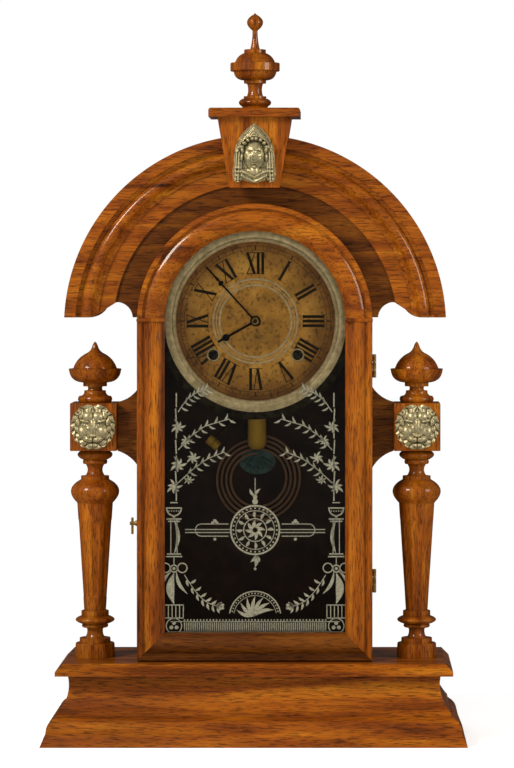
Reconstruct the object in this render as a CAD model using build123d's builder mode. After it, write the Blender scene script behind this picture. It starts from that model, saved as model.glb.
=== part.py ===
from build123d import *
import os
from math import acos, asin, atan2, cos, degrees, hypot, pi, radians, sin, sqrt

# Striking shelf clock: a turned and moulded wooden case with a glazed arched door, a spring-driven
# movement behind a round dial, a short pendulum and a coiled wire gong.
# Millimetres. +Z is up, the front faces -Y, and the origin is the middle of the base's underside.

# Base: mitred mouldings round the front and both sides, with a chamfered board on top
base_half_width = 180.5
base_half_depth = 67.0
plinth_height = 9.9
plinth_slope = 4.0
ovolo_start = 13.2
ovolo_top = 23.6
ovolo_depth = 7.0
base_fillet_top = 26.5
base_fillet_depth = 1.4
cove_depth = 8.8
cove_top = 58.4
moulding_wall = 12.0
cap_thickness = 10.0
cap_inset = 11.9
cap_chamfer = 6.4
board_top = cove_top + cap_thickness

# Case: two sides, a bent arch and a back board
case_half_width = 100.45
case_wall = 9.0
case_front = -18.0
case_back = 60.0
arch_height = 358.4
back_board = 7.0
back_inset = 1.0
board_gap = 0.2

# Door frame section, from its outer edge inwards and from its front face back
door_thickness = 18.0
door_gap = 0.2
door_foot_gap = 0.8
frame_width = 23.25
outer_strip = 4.35
groove_width = 2.0
groove_depth = 2.6
roll_width = 13.7
roll_crest = 0.3
sight_depth = 5.5
rebate_lip = 4.2
rebate_depth = 6.0
impost_height = 3.4
impost_proud = 0.45
impost_forward = 0.9
glass_thickness = 2.0
glass_gap = 0.2
strip_width = 3.2
strip_thickness = 3.4

# Hinges: two brass butts on the right-hand edge
hinge_heights = (135.75, 320.0)
hinge_length = 20.0
leaf_width = 8.5
leaf_thickness = 1.0
knuckle_radius = 1.6
hinge_pin_radius = 0.8
running_gap = 0.05
hinge_stand_off = 1.75

# Latch: a turned hook through the left case side, and its keeper on the door
latch_height = 184.0
latch_behind = 13.0
latch_spindle_radius = 1.5
latch_cone_radius = 3.4
latch_cone_length = 3.6
latch_reach = 8.0
lever_up = 5.0
lever_down = 9.4
lever_width = 2.2
hook_radius = 11.5
hook_width = 2.0
hook_thickness = 2.6
keeper_pin_radius = 1.0
keeper_reach = 8.0

# Columns, heights above the base board
column_x = 138.9
column_y = 1.0
foot_radius = 17.4
foot_height = 12.2
step_radius = 13.2
step_top = 16.5
lower_neck_radius = 6.8
lower_neck_top = 25.4
lower_ring_radius = 10.8
lower_ring_top = 28.5
lower_torus_radius = 17.0
lower_torus_top = 35.8
shaft_fillet_radius = 11.8
shaft_start = 40.2
shaft_low_radius = 9.4
shaft_top = 133.0
shaft_high_radius = 15.3
bulb_radius = 21.0
bulb_top = 152.9
bulb_fillet_radius = 12.1
upper_neck_start = 156.4
upper_neck_radius = 6.4
upper_neck_top = 166.3
upper_ring_radius = 10.1
upper_ring_top = 170.3
upper_torus_radius = 15.3
block_start = 178.6
block_side = 40.0
block_height = 41.0
tenon_radius = 5.0
tenon_length = 8.0
tenon_gap = 0.1
flutes = 8
flute_low = 53.0
flute_high = 115.0
flute_radius = 2.6
flute_depth = 1.5
flute_turn = -15.5

# Turned finial on each column block, heights above the block
finial_ring_radius = 14.7
finial_ring_top = 5.7
finial_cove_top = 10.3
finial_neck_radius = 6.4
finial_neck_top = 13.8
finial_fillet_radius = 10.3
finial_bowl_start = 17.3
finial_rim_radius = 22.8
finial_rim_height = 28.8
finial_dome_radius = 18.7
finial_height = 52.5
finial_dowel_radius = 4.0
finial_dowel_length = 9.0

# Brackets between the case sides and the column blocks
bracket_thickness = 14.0
bracket_case_low = 231.6
bracket_case_high = 301.6
bracket_block_low = 246.4
bracket_block_high = 288.3

# Pediment: a board round the case arch, with a half-round moulding on its face
ring_height = 354.3
ring_radius = 163.6
pediment_foot = 361.6
ring_flat = 9.8
ring_groove = 4.1
ring_bead = 14.9
ring_fillet = 13.1
pediment_front = -14.0
pediment_board_thickness = 12.0
ring_relief = 10.0
fillet_relief = 2.0
scroll_out = 141.3
scroll_in = 105.4
scroll_peak_x = 117.4
scroll_peak = 374.6

# Keystone, its cap and the crown finial
keystone_front = -45.0
keystone_back = -3.0
keystone_low = 472.4
keystone_high = 532.4
keystone_low_half = 21.4
keystone_high_half = 31.4
keystone_cap_overhang = 7.4
keystone_cap_height = 7.6
crown_ring_radius = 14.0
crown_bowl_radius = 18.2
crown_rim_radius = 21.4
crown_dome_radius = 17.1
crown_bud_radius = 6.7
crown_height = 82.4
crown_dowel_radius = 3.0

# Carved masks: a lion on each block and a woman's head on the keystone
lion_half = 19.5
lion_relief = 9.5
mask_half_width = 18.8
mask_height = 56.0
mask_relief = 11.0

# Dial: a pressed pan, its printed face, a rolled bezel and two grommets
dial_height = 358.3
face_front = -10.0
face_thickness = 0.3
face_radius = 68.2
pan_sheet = 0.8
pan_radius = 77.5
pan_skirt = 6.7
flange_radius = 85.0
bezel_inner = 68.3
bezel_outer = 78.3
bezel_height = 3.5
centre_ring_inner = 30.1
centre_ring_outer = 37.0
centre_ring_relief = 0.9
centre_hole = 4.2
winding_x = 36.3
winding_drop = 29.1
grommet_inner = 4.25
grommet_outer = 5.6
grommet_wall = 0.7
dial_foot_radius = 1.6
dial_feet = ((46.0, 24.0), (-46.0, 24.0), (0.0, -44.0))

# Movement frame: two plates held apart by riveted pillars and stood off the back board
plate_front = -1.2
plate_thickness = 1.6
plate_gap = 29.0
plate_half_width = 58.0
plate_top = 60.0
plate_foot = -66.0
plate_corner = 14.0
plate_foot_corner = 20.0
pillar_radius = 2.6
pillar_places = ((36.0, -61.5), (-36.0, -61.5), (53.5, 16.0), (-53.5, 16.0), (40.0, 53.0), (-40.0, 53.0))
foot_places = ((36.0, -61.5), (-36.0, -61.5), (40.0, 53.0), (-40.0, 53.0))
pivot_radius = 0.8
arbor_radius = 1.2
end_shake = 0.2

# Gear teeth
tip_share = 0.80
root_share = 1.15
tooth_root = 0.44
tooth_tip = 0.20
leaf_root = 0.30
leaf_tip = 0.16
leaf_tip_share = 0.55
wheel_thickness = 1.4

# Going train: teeth and modules of each meshing pair
great_teeth, second_leaves, great_module = 64, 8, 0.9
second_teeth, centre_leaves, second_module = 48, 8, 0.8
centre_teeth, third_leaves, centre_module = 72, 6, 0.55
third_teeth, escape_leaves, third_module = 54, 6, 0.55
escape_teeth = 44
escape_radius = 14.2
escape_rise = 31.5
verge_rise = 52.0

# Strike train
pin_leaves = 8
pin_teeth, warning_leaves, pin_module = 54, 6, 0.7
warning_teeth, fly_leaves, warning_module = 48, 6, 0.6
pin_bearing = 80.0
warning_bearing = 60.0
fly_bearing = 130.0
lifting_pins = 8
lifting_pin_circle = 17.0
fly_half_width = 10.0

# Motion work behind the dial
cannon_leaves, minute_teeth, motion_module = 10, 30, 0.9
minute_leaves, hour_teeth = 8, 32
minute_bearing = 60.0

# Depths of the wheels, each plane's front face
spring_front, spring_width = 2.2, 15.4
ratchet_front, ratchet_thickness = 18.0, 1.6
great_front, great_thickness = 20.2, 1.6
second_front = 24.0
centre_front = 12.0
third_front = 6.0
escape_front = 21.0
pin_front = 24.0
warning_front = 8.4
pinion_overlap = 1.4

# Springs, winding arbors and clicks
spring_outer = 24.0
spring_strip = 1.1
spring_turns = 5
winding_radius = 3.2
winding_journal = 2.7
winding_square = 3.6
winding_pivot = 1.8
ratchet_radius = 7.4
ratchet_teeth = 12

# Hands
minute_hand_length = 62.9
minute_hand_angle = 317.8
minute_kite = 44.0
hour_hand_length = 37.1
hour_hand_angle = 240.8
hour_blob = 29.0
hand_thickness = 0.6
hour_hand_front = -12.3
minute_hand_front = -14.5
minute_pipe_radius = 2.05
minute_pipe_bore = 1.25
hour_pipe_radius = 3.0
nut_radius = 2.6

# Pendulum, verge and crutch
pendulum_y = 35.6
bob_radius = 8.3
bob_low = 245.0
bob_high = 291.0
rod_radius = 0.9
spring_blade_width = 4.6
spring_blade = 0.4
crutch_length = 34.0

# Gong and hammer
gong_height = 217.7
gong_y = 46.0
gong_wire = 1.0
gong_first_radius = 23.4
gong_growth = 2.0
gong_half_turns = 8
gong_base_height = 233.5
gong_base_half_width = 15.8
gong_base_half_height = 11.0
gong_base_relief = 4.6
hammer_arbor_x = 11.5
hammer_arbor_drop = 51.0
hammer_head_x = -38.8
hammer_head_height = 250.4
hammer_head_radius = 4.3
hammer_head_length = 12.0

movement_back = plate_front + plate_thickness + plate_gap
plate_rear = movement_back + plate_thickness
board_face = case_back - back_inset - back_board
door_back = case_front - door_gap
door_front = door_back - door_thickness


def facing(depth):
    """A plane at a depth, facing the front: x is +X, y is +Z, and extruding grows towards the front."""
    return Plane.XZ.offset(-depth)


def polar(centre, radius, angle):
    """The point at a radius and an angle in degrees about a centre."""
    return (centre[0] + radius * cos(radians(angle)), centre[1] + radius * sin(radians(angle)))


def bearing(centre, point):
    """The angle in degrees of the line from a centre to a point."""
    return degrees(atan2(point[1] - centre[1], point[0] - centre[0]))


def meeting(centre_a, distance_a, centre_b, distance_b):
    """The right-hand one of the two points at the given distances from two centres."""
    span = hypot(centre_b[0] - centre_a[0], centre_b[1] - centre_a[1])
    along = (distance_a**2 - distance_b**2 + span**2) / (2 * span)
    off = degrees(acos(along / distance_a))
    points = [polar(centre_a, distance_a, bearing(centre_a, centre_b) + turn) for turn in (off, -off)]
    return max(points)


def outline(start, *steps):
    """Draw a closed outline. A step is a point to draw a line to, or a pair: an arc through the
    first point to the second."""
    here = start
    for step in steps:
        if isinstance(step[0], tuple):
            ThreePointArc(here, step[0], step[1])
            here = step[1]
        else:
            Line(here, step)
            here = step
    if here != start:
        Line(here, start)


def finish(piece, name):
    """Label a finished piece and write it out."""
    piece.part.label = name
    export_step(piece.part, f"parts/{name}.step")


# Arbor places about the dial centre, as seen from the front: x to the right, y up
centre_place = (0.0, 0.0)
going_place = (winding_x, -winding_drop)
striking_place = (-winding_x, -winding_drop)


def centre_distance(teeth, leaves, module):
    """The distance between the arbors of a meshing wheel and pinion."""
    return module * (teeth + leaves) / 2


second_place = meeting(
    going_place, centre_distance(great_teeth, second_leaves, great_module),
    centre_place, centre_distance(second_teeth, centre_leaves, second_module),
)
escape_place = (0.0, escape_rise)
third_place = meeting(
    centre_place, centre_distance(centre_teeth, third_leaves, centre_module),
    escape_place, centre_distance(third_teeth, escape_leaves, third_module),
)
verge_place = (0.0, verge_rise)
pin_place = polar(striking_place, centre_distance(great_teeth, pin_leaves, great_module), pin_bearing)
warning_place = polar(pin_place, centre_distance(pin_teeth, warning_leaves, pin_module), warning_bearing)
fly_place = polar(warning_place, centre_distance(warning_teeth, fly_leaves, warning_module), fly_bearing)
minute_place = polar(centre_place, centre_distance(minute_teeth, cannon_leaves, motion_module), minute_bearing)
hammer_place = (hammer_arbor_x, -hammer_arbor_drop)


def on_dial(place):
    """A place about the dial centre as a point of the front view."""
    return (place[0], dial_height + place[1])


def dial_plane(place, depth):
    """A plane facing the front at a depth, with its origin at a place about the dial centre."""
    x, z = on_dial(place)
    return Plane((x, depth, z), x_dir=(1, 0, 0), z_dir=(0, -1, 0))


def dial_axis(place):
    """The fore-and-aft axis through a place about the dial centre."""
    x, z = on_dial(place)
    return Axis((x, 0, z), (0, 1, 0))


# Base mouldings
wall_depth = plinth_slope + 0.8 + ovolo_depth + base_fillet_depth + cove_depth + moulding_wall


def base_section():
    """Draw the base moulding's section: x is in from the plinth's outer edge, y is up."""
    ovolo_edge = plinth_slope + 0.8
    fillet_edge = ovolo_edge + ovolo_depth + base_fillet_depth
    cove_edge = fillet_edge + cove_depth
    cove_mid = (fillet_edge + 0.95 * cove_depth, (base_fillet_top + cove_top) / 2 - 2)
    outline(
        (0, 0),
        (plinth_slope, plinth_height),
        (ovolo_edge, plinth_height + 0.6),
        (ovolo_edge, ovolo_start),
        ((ovolo_edge + 0.28 * ovolo_depth, ovolo_start + 0.68 * (ovolo_top - ovolo_start)),
         (ovolo_edge + ovolo_depth, ovolo_top)),
        (fillet_edge, ovolo_top + 0.4),
        (fillet_edge, base_fillet_top),
        (cove_mid, (cove_edge, cove_top)),
        (wall_depth, cove_top),
        (wall_depth, 0),
    )


corner_x, corner_y = base_half_width, -base_half_depth
with BuildPart() as base_moulding_front:
    with BuildSketch(Plane((0, corner_y, 0), x_dir=(0, 1, 0), z_dir=(1, 0, 0))):
        with BuildLine():
            base_section()
        make_face()
    extrude(amount=base_half_width, both=True)
    split(bisect_by=Plane((corner_x, corner_y, 0), z_dir=(1, 1, 0)), keep=Keep.BOTTOM)
    split(bisect_by=Plane((-corner_x, corner_y, 0), z_dir=(-1, 1, 0)), keep=Keep.BOTTOM)
finish(base_moulding_front, "base_moulding_front")

with BuildPart() as base_moulding_right:
    with BuildSketch(Plane((corner_x, corner_y, 0), x_dir=(-1, 0, 0), z_dir=(0, 1, 0))):
        with BuildLine():
            base_section()
        make_face()
    extrude(amount=2 * base_half_depth)
    split(bisect_by=Plane((corner_x, corner_y, 0), z_dir=(1, 1, 0)), keep=Keep.TOP)
finish(base_moulding_right, "base_moulding_right")

with BuildPart() as base_moulding_left:
    mirror(base_moulding_right.part, about=Plane.YZ)
finish(base_moulding_left, "base_moulding_left")

with BuildPart() as base_cap_board:
    with BuildSketch(Plane.XY.offset(cove_top)):
        with Locations((0, cap_inset / 2)):
            Rectangle(2 * (base_half_width - cap_inset), 2 * base_half_depth - cap_inset)
    extrude(amount=cap_thickness)
    top_edges = faces().sort_by(Axis.Z)[-1].edges().sort_by(Axis.Y)
    chamfer(top_edges[:-1], length=cap_chamfer)
    with BuildSketch(Plane.XY.offset(board_top)):
        with Locations((column_x, column_y), (-column_x, column_y)):
            Circle(tenon_radius + tenon_gap)
    extrude(amount=-tenon_length - tenon_gap, mode=Mode.SUBTRACT)
finish(base_cap_board, "base_cap_board")


# Case sides, arch and back board
hinge_x = case_half_width + hinge_stand_off
hinge_y = (case_front + door_back) / 2
leaf_edge = case_half_width - leaf_width
case_inner = case_half_width - case_wall
latch_y = case_front + latch_behind


def arched(half_width, foot, centre_height=arch_height):
    """Draw an outline with straight sides and a half-round top."""
    outline(
        (-half_width, foot),
        (half_width, foot),
        (half_width, centre_height),
        ((0, centre_height + half_width), (-half_width, centre_height)),
    )


with BuildPart() as case_side_right:
    with BuildSketch(Plane.XY.offset(board_top)):
        with Locations(((case_half_width + case_inner) / 2, (case_front + case_back) / 2)):
            Rectangle(case_wall, case_back - case_front)
    extrude(amount=arch_height - board_top)
    for height in hinge_heights:
        with BuildSketch(Plane.XY.offset(height - hinge_length / 2)):
            with Locations((case_half_width - leaf_width / 2, case_front + leaf_thickness / 2)):
                Rectangle(leaf_width, leaf_thickness)
        extrude(amount=hinge_length, mode=Mode.SUBTRACT)
finish(case_side_right, "case_side_right")

with BuildPart() as case_side_left:
    with BuildSketch(Plane.XY.offset(board_top)):
        with Locations((-(case_half_width + case_inner) / 2, (case_front + case_back) / 2)):
            Rectangle(case_wall, case_back - case_front)
    extrude(amount=arch_height - board_top)
    with BuildSketch(Plane.YZ.offset(-case_half_width)):
        with Locations((latch_y, latch_height)):
            Circle(latch_spindle_radius + running_gap)
    extrude(amount=case_wall, mode=Mode.SUBTRACT)
finish(case_side_left, "case_side_left")

with BuildPart() as case_arch:
    with BuildSketch(facing(case_back)):
        with BuildLine():
            arched(case_half_width, arch_height - 1)
        make_face()
        with Locations((0, arch_height)):
            Circle(case_inner, mode=Mode.SUBTRACT)
        with Locations((0, arch_height - case_half_width / 2)):
            Rectangle(2 * case_half_width, case_half_width, mode=Mode.SUBTRACT)
    extrude(amount=case_back - case_front)
finish(case_arch, "case_arch")

with BuildPart() as backboard:
    with BuildSketch(facing(board_face + back_board)):
        with BuildLine():
            arched(case_inner - board_gap, board_top)
        make_face()
    extrude(amount=back_board)
finish(backboard, "backboard")


# Door: two stiles, a bottom rail and an arch of one moulded section
door_foot = board_top + door_foot_gap
opening_half = case_half_width - frame_width
rebate_half = opening_half + rebate_lip
impost_low = arch_height - impost_height / 2 + 1.2
impost_high = impost_low + impost_height


def frame_section():
    """Draw the door frame's section: x is in from the outer edge, y is back from the front face."""
    roll_start = outer_strip + groove_width
    roll_end = roll_start + roll_width
    outline(
        (0, 0),
        (outer_strip, 0),
        (outer_strip, groove_depth),
        (roll_start, groove_depth),
        (((roll_start + roll_end) / 2, roll_crest), (roll_end, groove_depth)),
        (frame_width, sight_depth),
        (frame_width, door_thickness - rebate_depth),
        (frame_width - rebate_lip, door_thickness - rebate_depth),
        (frame_width - rebate_lip, door_thickness),
        (0, door_thickness),
    )


foot_corner = (case_half_width, 0, door_foot)
with BuildPart() as door_stile_right:
    with BuildSketch(Plane((case_half_width, door_front, door_foot), x_dir=(-1, 0, 0), z_dir=(0, 0, -1))):
        with BuildLine():
            frame_section()
        make_face()
    extrude(amount=door_foot - impost_low)
    split(bisect_by=Plane(foot_corner, z_dir=(1, 0, 1)), keep=Keep.TOP)
    with BuildSketch(Plane.XY.offset(impost_low)):
        with Locations(((case_half_width + opening_half) / 2, door_back - door_thickness / 2)):
            Rectangle(frame_width + 2 * impost_proud, door_thickness)
        with Locations(((case_half_width + opening_half) / 2, door_front)):
            Rectangle(frame_width + 2 * impost_proud, 2 * impost_forward)
        with Locations(((rebate_half + opening_half) / 2 - 1, door_back - rebate_depth / 2)):
            Rectangle(rebate_lip + 2, rebate_depth, mode=Mode.SUBTRACT)
        with Locations((case_half_width + impost_proud / 2 + 0.5, door_back - 2.5)):
            Rectangle(impost_proud + 1, 5, mode=Mode.SUBTRACT)
    extrude(amount=impost_height)
    for height in hinge_heights:
        with BuildSketch(Plane.XY.offset(height - hinge_length / 2)):
            with Locations((case_half_width - leaf_width / 2, door_back - leaf_thickness / 2)):
                Rectangle(leaf_width, leaf_thickness)
        extrude(amount=hinge_length, mode=Mode.SUBTRACT)
finish(door_stile_right, "door_stile_right")

with BuildPart() as door_stile_left:
    with BuildSketch(Plane((-case_half_width, door_front, door_foot), x_dir=(1, 0, 0), z_dir=(0, 0, 1))):
        with BuildLine():
            frame_section()
        make_face()
    extrude(amount=impost_low - door_foot)
    split(bisect_by=Plane((-case_half_width, 0, door_foot), z_dir=(-1, 0, 1)), keep=Keep.TOP)
    with BuildSketch(Plane.XY.offset(impost_low)):
        with Locations((-(case_half_width + opening_half) / 2, door_back - door_thickness / 2)):
            Rectangle(frame_width + 2 * impost_proud, door_thickness)
        with Locations((-(case_half_width + opening_half) / 2, door_front)):
            Rectangle(frame_width + 2 * impost_proud, 2 * impost_forward)
        with Locations((-(rebate_half + opening_half) / 2 + 1, door_back - rebate_depth / 2)):
            Rectangle(rebate_lip + 2, rebate_depth, mode=Mode.SUBTRACT)
    extrude(amount=impost_height)
finish(door_stile_left, "door_stile_left")

with BuildPart() as door_rail:
    with BuildSketch(Plane((0, door_front, door_foot), x_dir=(0, 0, 1), z_dir=(-1, 0, 0))):
        with BuildLine():
            frame_section()
        make_face()
    extrude(amount=case_half_width, both=True)
    split(bisect_by=Plane(foot_corner, z_dir=(1, 0, 1)), keep=Keep.BOTTOM)
    split(bisect_by=Plane((-case_half_width, 0, door_foot), z_dir=(-1, 0, 1)), keep=Keep.BOTTOM)
finish(door_rail, "door_rail")

with BuildPart() as door_arch:
    with BuildSketch(Plane((case_half_width, door_front, arch_height), x_dir=(-1, 0, 0), z_dir=(0, 0, -1))):
        with BuildLine():
            frame_section()
        make_face()
    revolve(axis=Axis((0, 0, arch_height), (0, -1, 0)), revolution_arc=180)
    split(bisect_by=Plane.XY.offset(impost_high), keep=Keep.TOP)
finish(door_arch, "door_arch")

glass_half = rebate_half - glass_gap
glass_front = door_back - rebate_depth
with BuildPart() as door_glass:
    with BuildSketch(facing(glass_front + glass_thickness)):
        with BuildLine():
            arched(glass_half, door_foot + frame_width - rebate_lip + glass_gap)
        make_face()
    extrude(amount=glass_thickness)
finish(door_glass, "door_glass")

strip_foot = door_foot + frame_width - rebate_lip + glass_gap
with BuildPart() as glazing_strips:
    with BuildSketch(facing(glass_front + glass_thickness + strip_thickness)):
        with BuildLine():
            arched(glass_half, strip_foot)
        make_face()
        with BuildLine():
            arched(glass_half - strip_width, strip_foot + strip_width)
        make_face(mode=Mode.SUBTRACT)
    extrude(amount=strip_thickness)
finish(glazing_strips, "glazing_strips")


def hinge_leaf(inner_face, outer_face, knuckle_lows, knuckle_length, bore=None):
    """One leaf of each hinge, let in flush, with its share of the knuckle. Without a bore the leaf
    carries the pin."""
    with BuildPart() as leaf:
        for height in hinge_heights:
            low = height - hinge_length / 2
            with BuildSketch(Plane.XY.offset(low)):
                with Locations(((leaf_edge + case_half_width) / 2, (inner_face + outer_face) / 2)):
                    Rectangle(leaf_width, abs(outer_face - inner_face))
            extrude(amount=hinge_length)
            for start in knuckle_lows:
                with BuildSketch(Plane.XY.offset(low + start)):
                    with Locations(((case_half_width + hinge_x) / 2, (inner_face + outer_face) / 2)):
                        Rectangle(hinge_stand_off, abs(outer_face - inner_face))
                    with Locations((hinge_x, hinge_y)):
                        Circle(knuckle_radius)
                        if bore:
                            Circle(bore, mode=Mode.SUBTRACT)
                extrude(amount=knuckle_length)
            if not bore:
                with BuildSketch(Plane.XY.offset(low)):
                    with Locations((hinge_x, hinge_y)):
                        Circle(hinge_pin_radius)
                extrude(amount=hinge_length)
    return leaf


knuckle = hinge_length / 3
knuckle_shake = 0.15
case_hinge_leaves = hinge_leaf(
    case_front, case_front + leaf_thickness, (0, 2 * knuckle + knuckle_shake), knuckle - knuckle_shake
)
finish(case_hinge_leaves, "case_hinge_leaves")

door_hinge_leaves = hinge_leaf(
    door_back - leaf_thickness, door_back, (knuckle + knuckle_shake,), knuckle - 3 * knuckle_shake,
    hinge_pin_radius + running_gap,
)
finish(door_hinge_leaves, "door_hinge_leaves")

# Latch: lever, cone and spindle through the case side, with an arc-shaped hook inside
hook_x = -(case_inner - 0.6)
with BuildPart() as latch_turn:
    with BuildSketch(Plane.YZ.offset(-case_half_width - latch_reach)):
        with Locations((latch_y, latch_height)):
            Circle(latch_spindle_radius)
    extrude(amount=latch_reach + case_wall + 0.6 + hook_thickness)
    with BuildSketch(Plane.YZ.offset(-case_half_width - 0.3)):
        with Locations((latch_y, latch_height)):
            Circle(latch_cone_radius)
    extrude(amount=-latch_cone_length, taper=24)
    lever_middle = latch_height + (lever_up - lever_down) / 2
    with BuildSketch(Plane.YZ.offset(-case_half_width - latch_reach + 1.2)):
        with Locations((latch_y, lever_middle)):
            SlotOverall(lever_up + lever_down, lever_width, rotation=90)
    extrude(amount=2.0)
    with BuildSketch(Plane.YZ.offset(hook_x)):
        with Locations((latch_y, latch_height)):
            Circle(3.0)
            with BuildSketch(mode=Mode.PRIVATE) as hook_arc:
                Circle(hook_radius + hook_width / 2)
                Circle(hook_radius - hook_width / 2, mode=Mode.SUBTRACT)
                with BuildLine(mode=Mode.PRIVATE) as wedge:
                    Polyline((0, 0), polar((0, 0), 40, 135), polar((0, 0), 40, 65), close=True)
                make_face(wedge.edges(), mode=Mode.INTERSECT)
            add(hook_arc.sketch)
            with Locations(polar((0, 0), hook_radius / 2, 67)):
                Rectangle(hook_radius, hook_width + 0.6, rotation=67)
    extrude(amount=hook_thickness)
finish(latch_turn, "latch_turn")

keeper_tab_x = hook_x + hook_thickness + 0.6
with BuildPart() as latch_keeper:
    with BuildSketch(Plane.XY.offset(latch_height - 6)):
        with Locations((keeper_tab_x + 0.5, door_back + keeper_reach / 2)):
            Rectangle(1.0, keeper_reach)
        with Locations((keeper_tab_x + 2.3, door_back + 0.4)):
            Rectangle(4.6, 0.8)
    extrude(amount=12)
    with BuildSketch(Plane.YZ.offset(keeper_tab_x + 0.5)):
        with Locations((latch_y - 8.0, latch_height)):
            Circle(keeper_pin_radius)
    extrude(amount=-hook_thickness - 1.4)
finish(latch_keeper, "latch_keeper")


# Columns: turned foot, neck, fluted shaft and bulb below a square block, in one piece
def upright(x, y):
    """A standing plane through a vertical axis at x, y: x is the radius, y is the height."""
    return Plane((x, y, 0), x_dir=(1, 0, 0), z_dir=(0, -1, 0))


def column_outline(floor):
    """Draw half of the column's turned outline above the base board."""
    outline(
        (0, floor),
        (foot_radius, floor),
        (foot_radius - 0.8, floor + foot_height),
        (step_radius, floor + foot_height),
        (step_radius, floor + step_top),
        (lower_neck_radius + 1.6, floor + step_top),
        ((lower_neck_radius, floor + (step_top + lower_neck_top) / 2 + 1),
         (lower_neck_radius + 0.6, floor + lower_neck_top)),
        (lower_ring_radius, floor + lower_neck_top),
        (lower_ring_radius, floor + lower_ring_top),
        (lower_torus_radius - 4.6, floor + lower_ring_top),
        ((lower_torus_radius, floor + (lower_ring_top + lower_torus_top) / 2),
         (lower_torus_radius - 4.6, floor + lower_torus_top)),
        (shaft_fillet_radius, floor + lower_torus_top),
        (shaft_fillet_radius, floor + shaft_start),
        (shaft_low_radius, floor + shaft_start),
        (shaft_high_radius, floor + shaft_top),
        ((bulb_radius, floor + (shaft_top + bulb_top) / 2), (bulb_fillet_radius, floor + bulb_top)),
        (bulb_fillet_radius, floor + upper_neck_start),
        (upper_neck_radius + 1.6, floor + upper_neck_start),
        ((upper_neck_radius, floor + (upper_neck_start + upper_neck_top) / 2),
         (upper_neck_radius + 1.6, floor + upper_neck_top)),
        (upper_ring_radius, floor + upper_neck_top),
        (upper_ring_radius, floor + upper_ring_top),
        (upper_torus_radius - 4.0, floor + upper_ring_top),
        ((upper_torus_radius, floor + (upper_ring_top + block_start) / 2),
         (upper_torus_radius - 4.0, floor + block_start)),
        (0, floor + block_start),
    )


def shaft_radius(height):
    """The plain shaft's radius at a height above the base board."""
    share = (height - shaft_start) / (shaft_top - shaft_start)
    return shaft_low_radius + share * (shaft_high_radius - shaft_low_radius)


def column(x):
    """One column, standing on the base board and tenoned into it."""
    with BuildPart() as flute:
        low_reach = shaft_radius(flute_low) + flute_radius - flute_depth * 0.6
        high_reach = shaft_radius(flute_high) + flute_radius - flute_depth
        with BuildLine() as middle:
            Line((0, -low_reach, board_top + flute_low), (0, -high_reach, board_top + flute_high))
        with BuildSketch(Plane(middle.line @ 0, z_dir=middle.line % 0)):
            Circle(flute_radius)
        sweep(path=middle.line)
        for end in (middle.line @ 0, middle.line @ 1):
            with Locations(end):
                Sphere(flute_radius)
    with BuildPart() as turned:
        with BuildSketch(upright(x, column_y)):
            with BuildLine():
                column_outline(board_top)
            make_face()
        revolve(axis=Axis((x, column_y, 0), (0, 0, 1)))
        for index in range(flutes):
            cutter = flute.part.rotate(Axis.Z, flute_turn + index * 360 / flutes)
            add(cutter.moved(Location((x, column_y, 0))), mode=Mode.SUBTRACT)
        with BuildSketch(Plane.XY.offset(board_top + block_start)):
            with Locations((x, column_y)):
                Rectangle(block_side, block_side)
        extrude(amount=block_height)
        with BuildSketch(Plane.XY.offset(board_top + block_start + block_height)):
            with Locations((x, column_y)):
                Circle(finial_dowel_radius + tenon_gap)
        extrude(amount=-finial_dowel_length - tenon_gap, mode=Mode.SUBTRACT)
        with BuildSketch(Plane.XY.offset(board_top)):
            with Locations((x, column_y)):
                Circle(tenon_radius)
        extrude(amount=-tenon_length)
    return turned


column_left = column(-column_x)
finish(column_left, "column_left")
column_right = column(column_x)
finish(column_right, "column_right")

block_top = board_top + block_start + block_height


def column_finial(x):
    """A turned urn finial with a domed lid, dowelled into its block."""
    low = block_top
    with BuildPart() as turned:
        with BuildSketch(upright(x, column_y)):
            with BuildLine():
                outline(
                    (0, low - finial_dowel_length),
                    (finial_dowel_radius, low - finial_dowel_length),
                    (finial_dowel_radius, low),
                    (finial_ring_radius - 1.2, low),
                    ((finial_ring_radius, low + finial_ring_top / 2), (finial_ring_radius - 1.2, low + finial_ring_top)),
                    (finial_ring_radius - 3.2, low + finial_ring_top),
                    ((finial_ring_radius - 4.6, low + finial_ring_top + 3), (finial_ring_radius - 5.4, low + finial_cove_top)),
                    (finial_neck_radius, low + finial_cove_top),
                    (finial_neck_radius, low + finial_neck_top),
                    (finial_fillet_radius, low + finial_neck_top),
                    (finial_fillet_radius, low + finial_bowl_start - 0.6),
                    (finial_fillet_radius + 0.7, low + finial_bowl_start),
                    ((finial_rim_radius - 3.4, low + finial_bowl_start + 5.4), (finial_rim_radius, low + finial_rim_height)),
                    (finial_dome_radius, low + finial_rim_height + 0.7),
                    ((finial_dome_radius - 2.9, low + finial_rim_height + 6.0), (9.0, low + finial_rim_height + 12.8)),
                    ((4.6, low + finial_rim_height + 16.2), (2.8, low + finial_rim_height + 19.6)),
                    (0, low + finial_height),
                )
            make_face()
        revolve(axis=Axis((x, column_y, 0), (0, 0, 1)))
    return turned


column_finial_left = column_finial(-column_x)
finish(column_finial_left, "column_finial_left")
column_finial_right = column_finial(column_x)
finish(column_finial_right, "column_finial_right")

# Brackets: flat boards that join the column blocks to the case sides
block_inner = column_x - block_side / 2
with BuildPart() as bracket_right:
    with BuildSketch(facing(column_y + bracket_thickness / 2)):
        with BuildLine():
            outline(
                (case_half_width, bracket_case_low),
                ((case_half_width + 9.5, bracket_case_low + 10.5), (block_inner, bracket_block_low)),
                (block_inner, bracket_block_high),
                ((case_half_width + 9.5, bracket_case_high - 9.6), (case_half_width, bracket_case_high)),
            )
        make_face()
    extrude(amount=bracket_thickness)
finish(bracket_right, "bracket_right")

with BuildPart() as bracket_left:
    mirror(bracket_right.part, about=Plane.YZ)
finish(bracket_left, "bracket_left")


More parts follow.
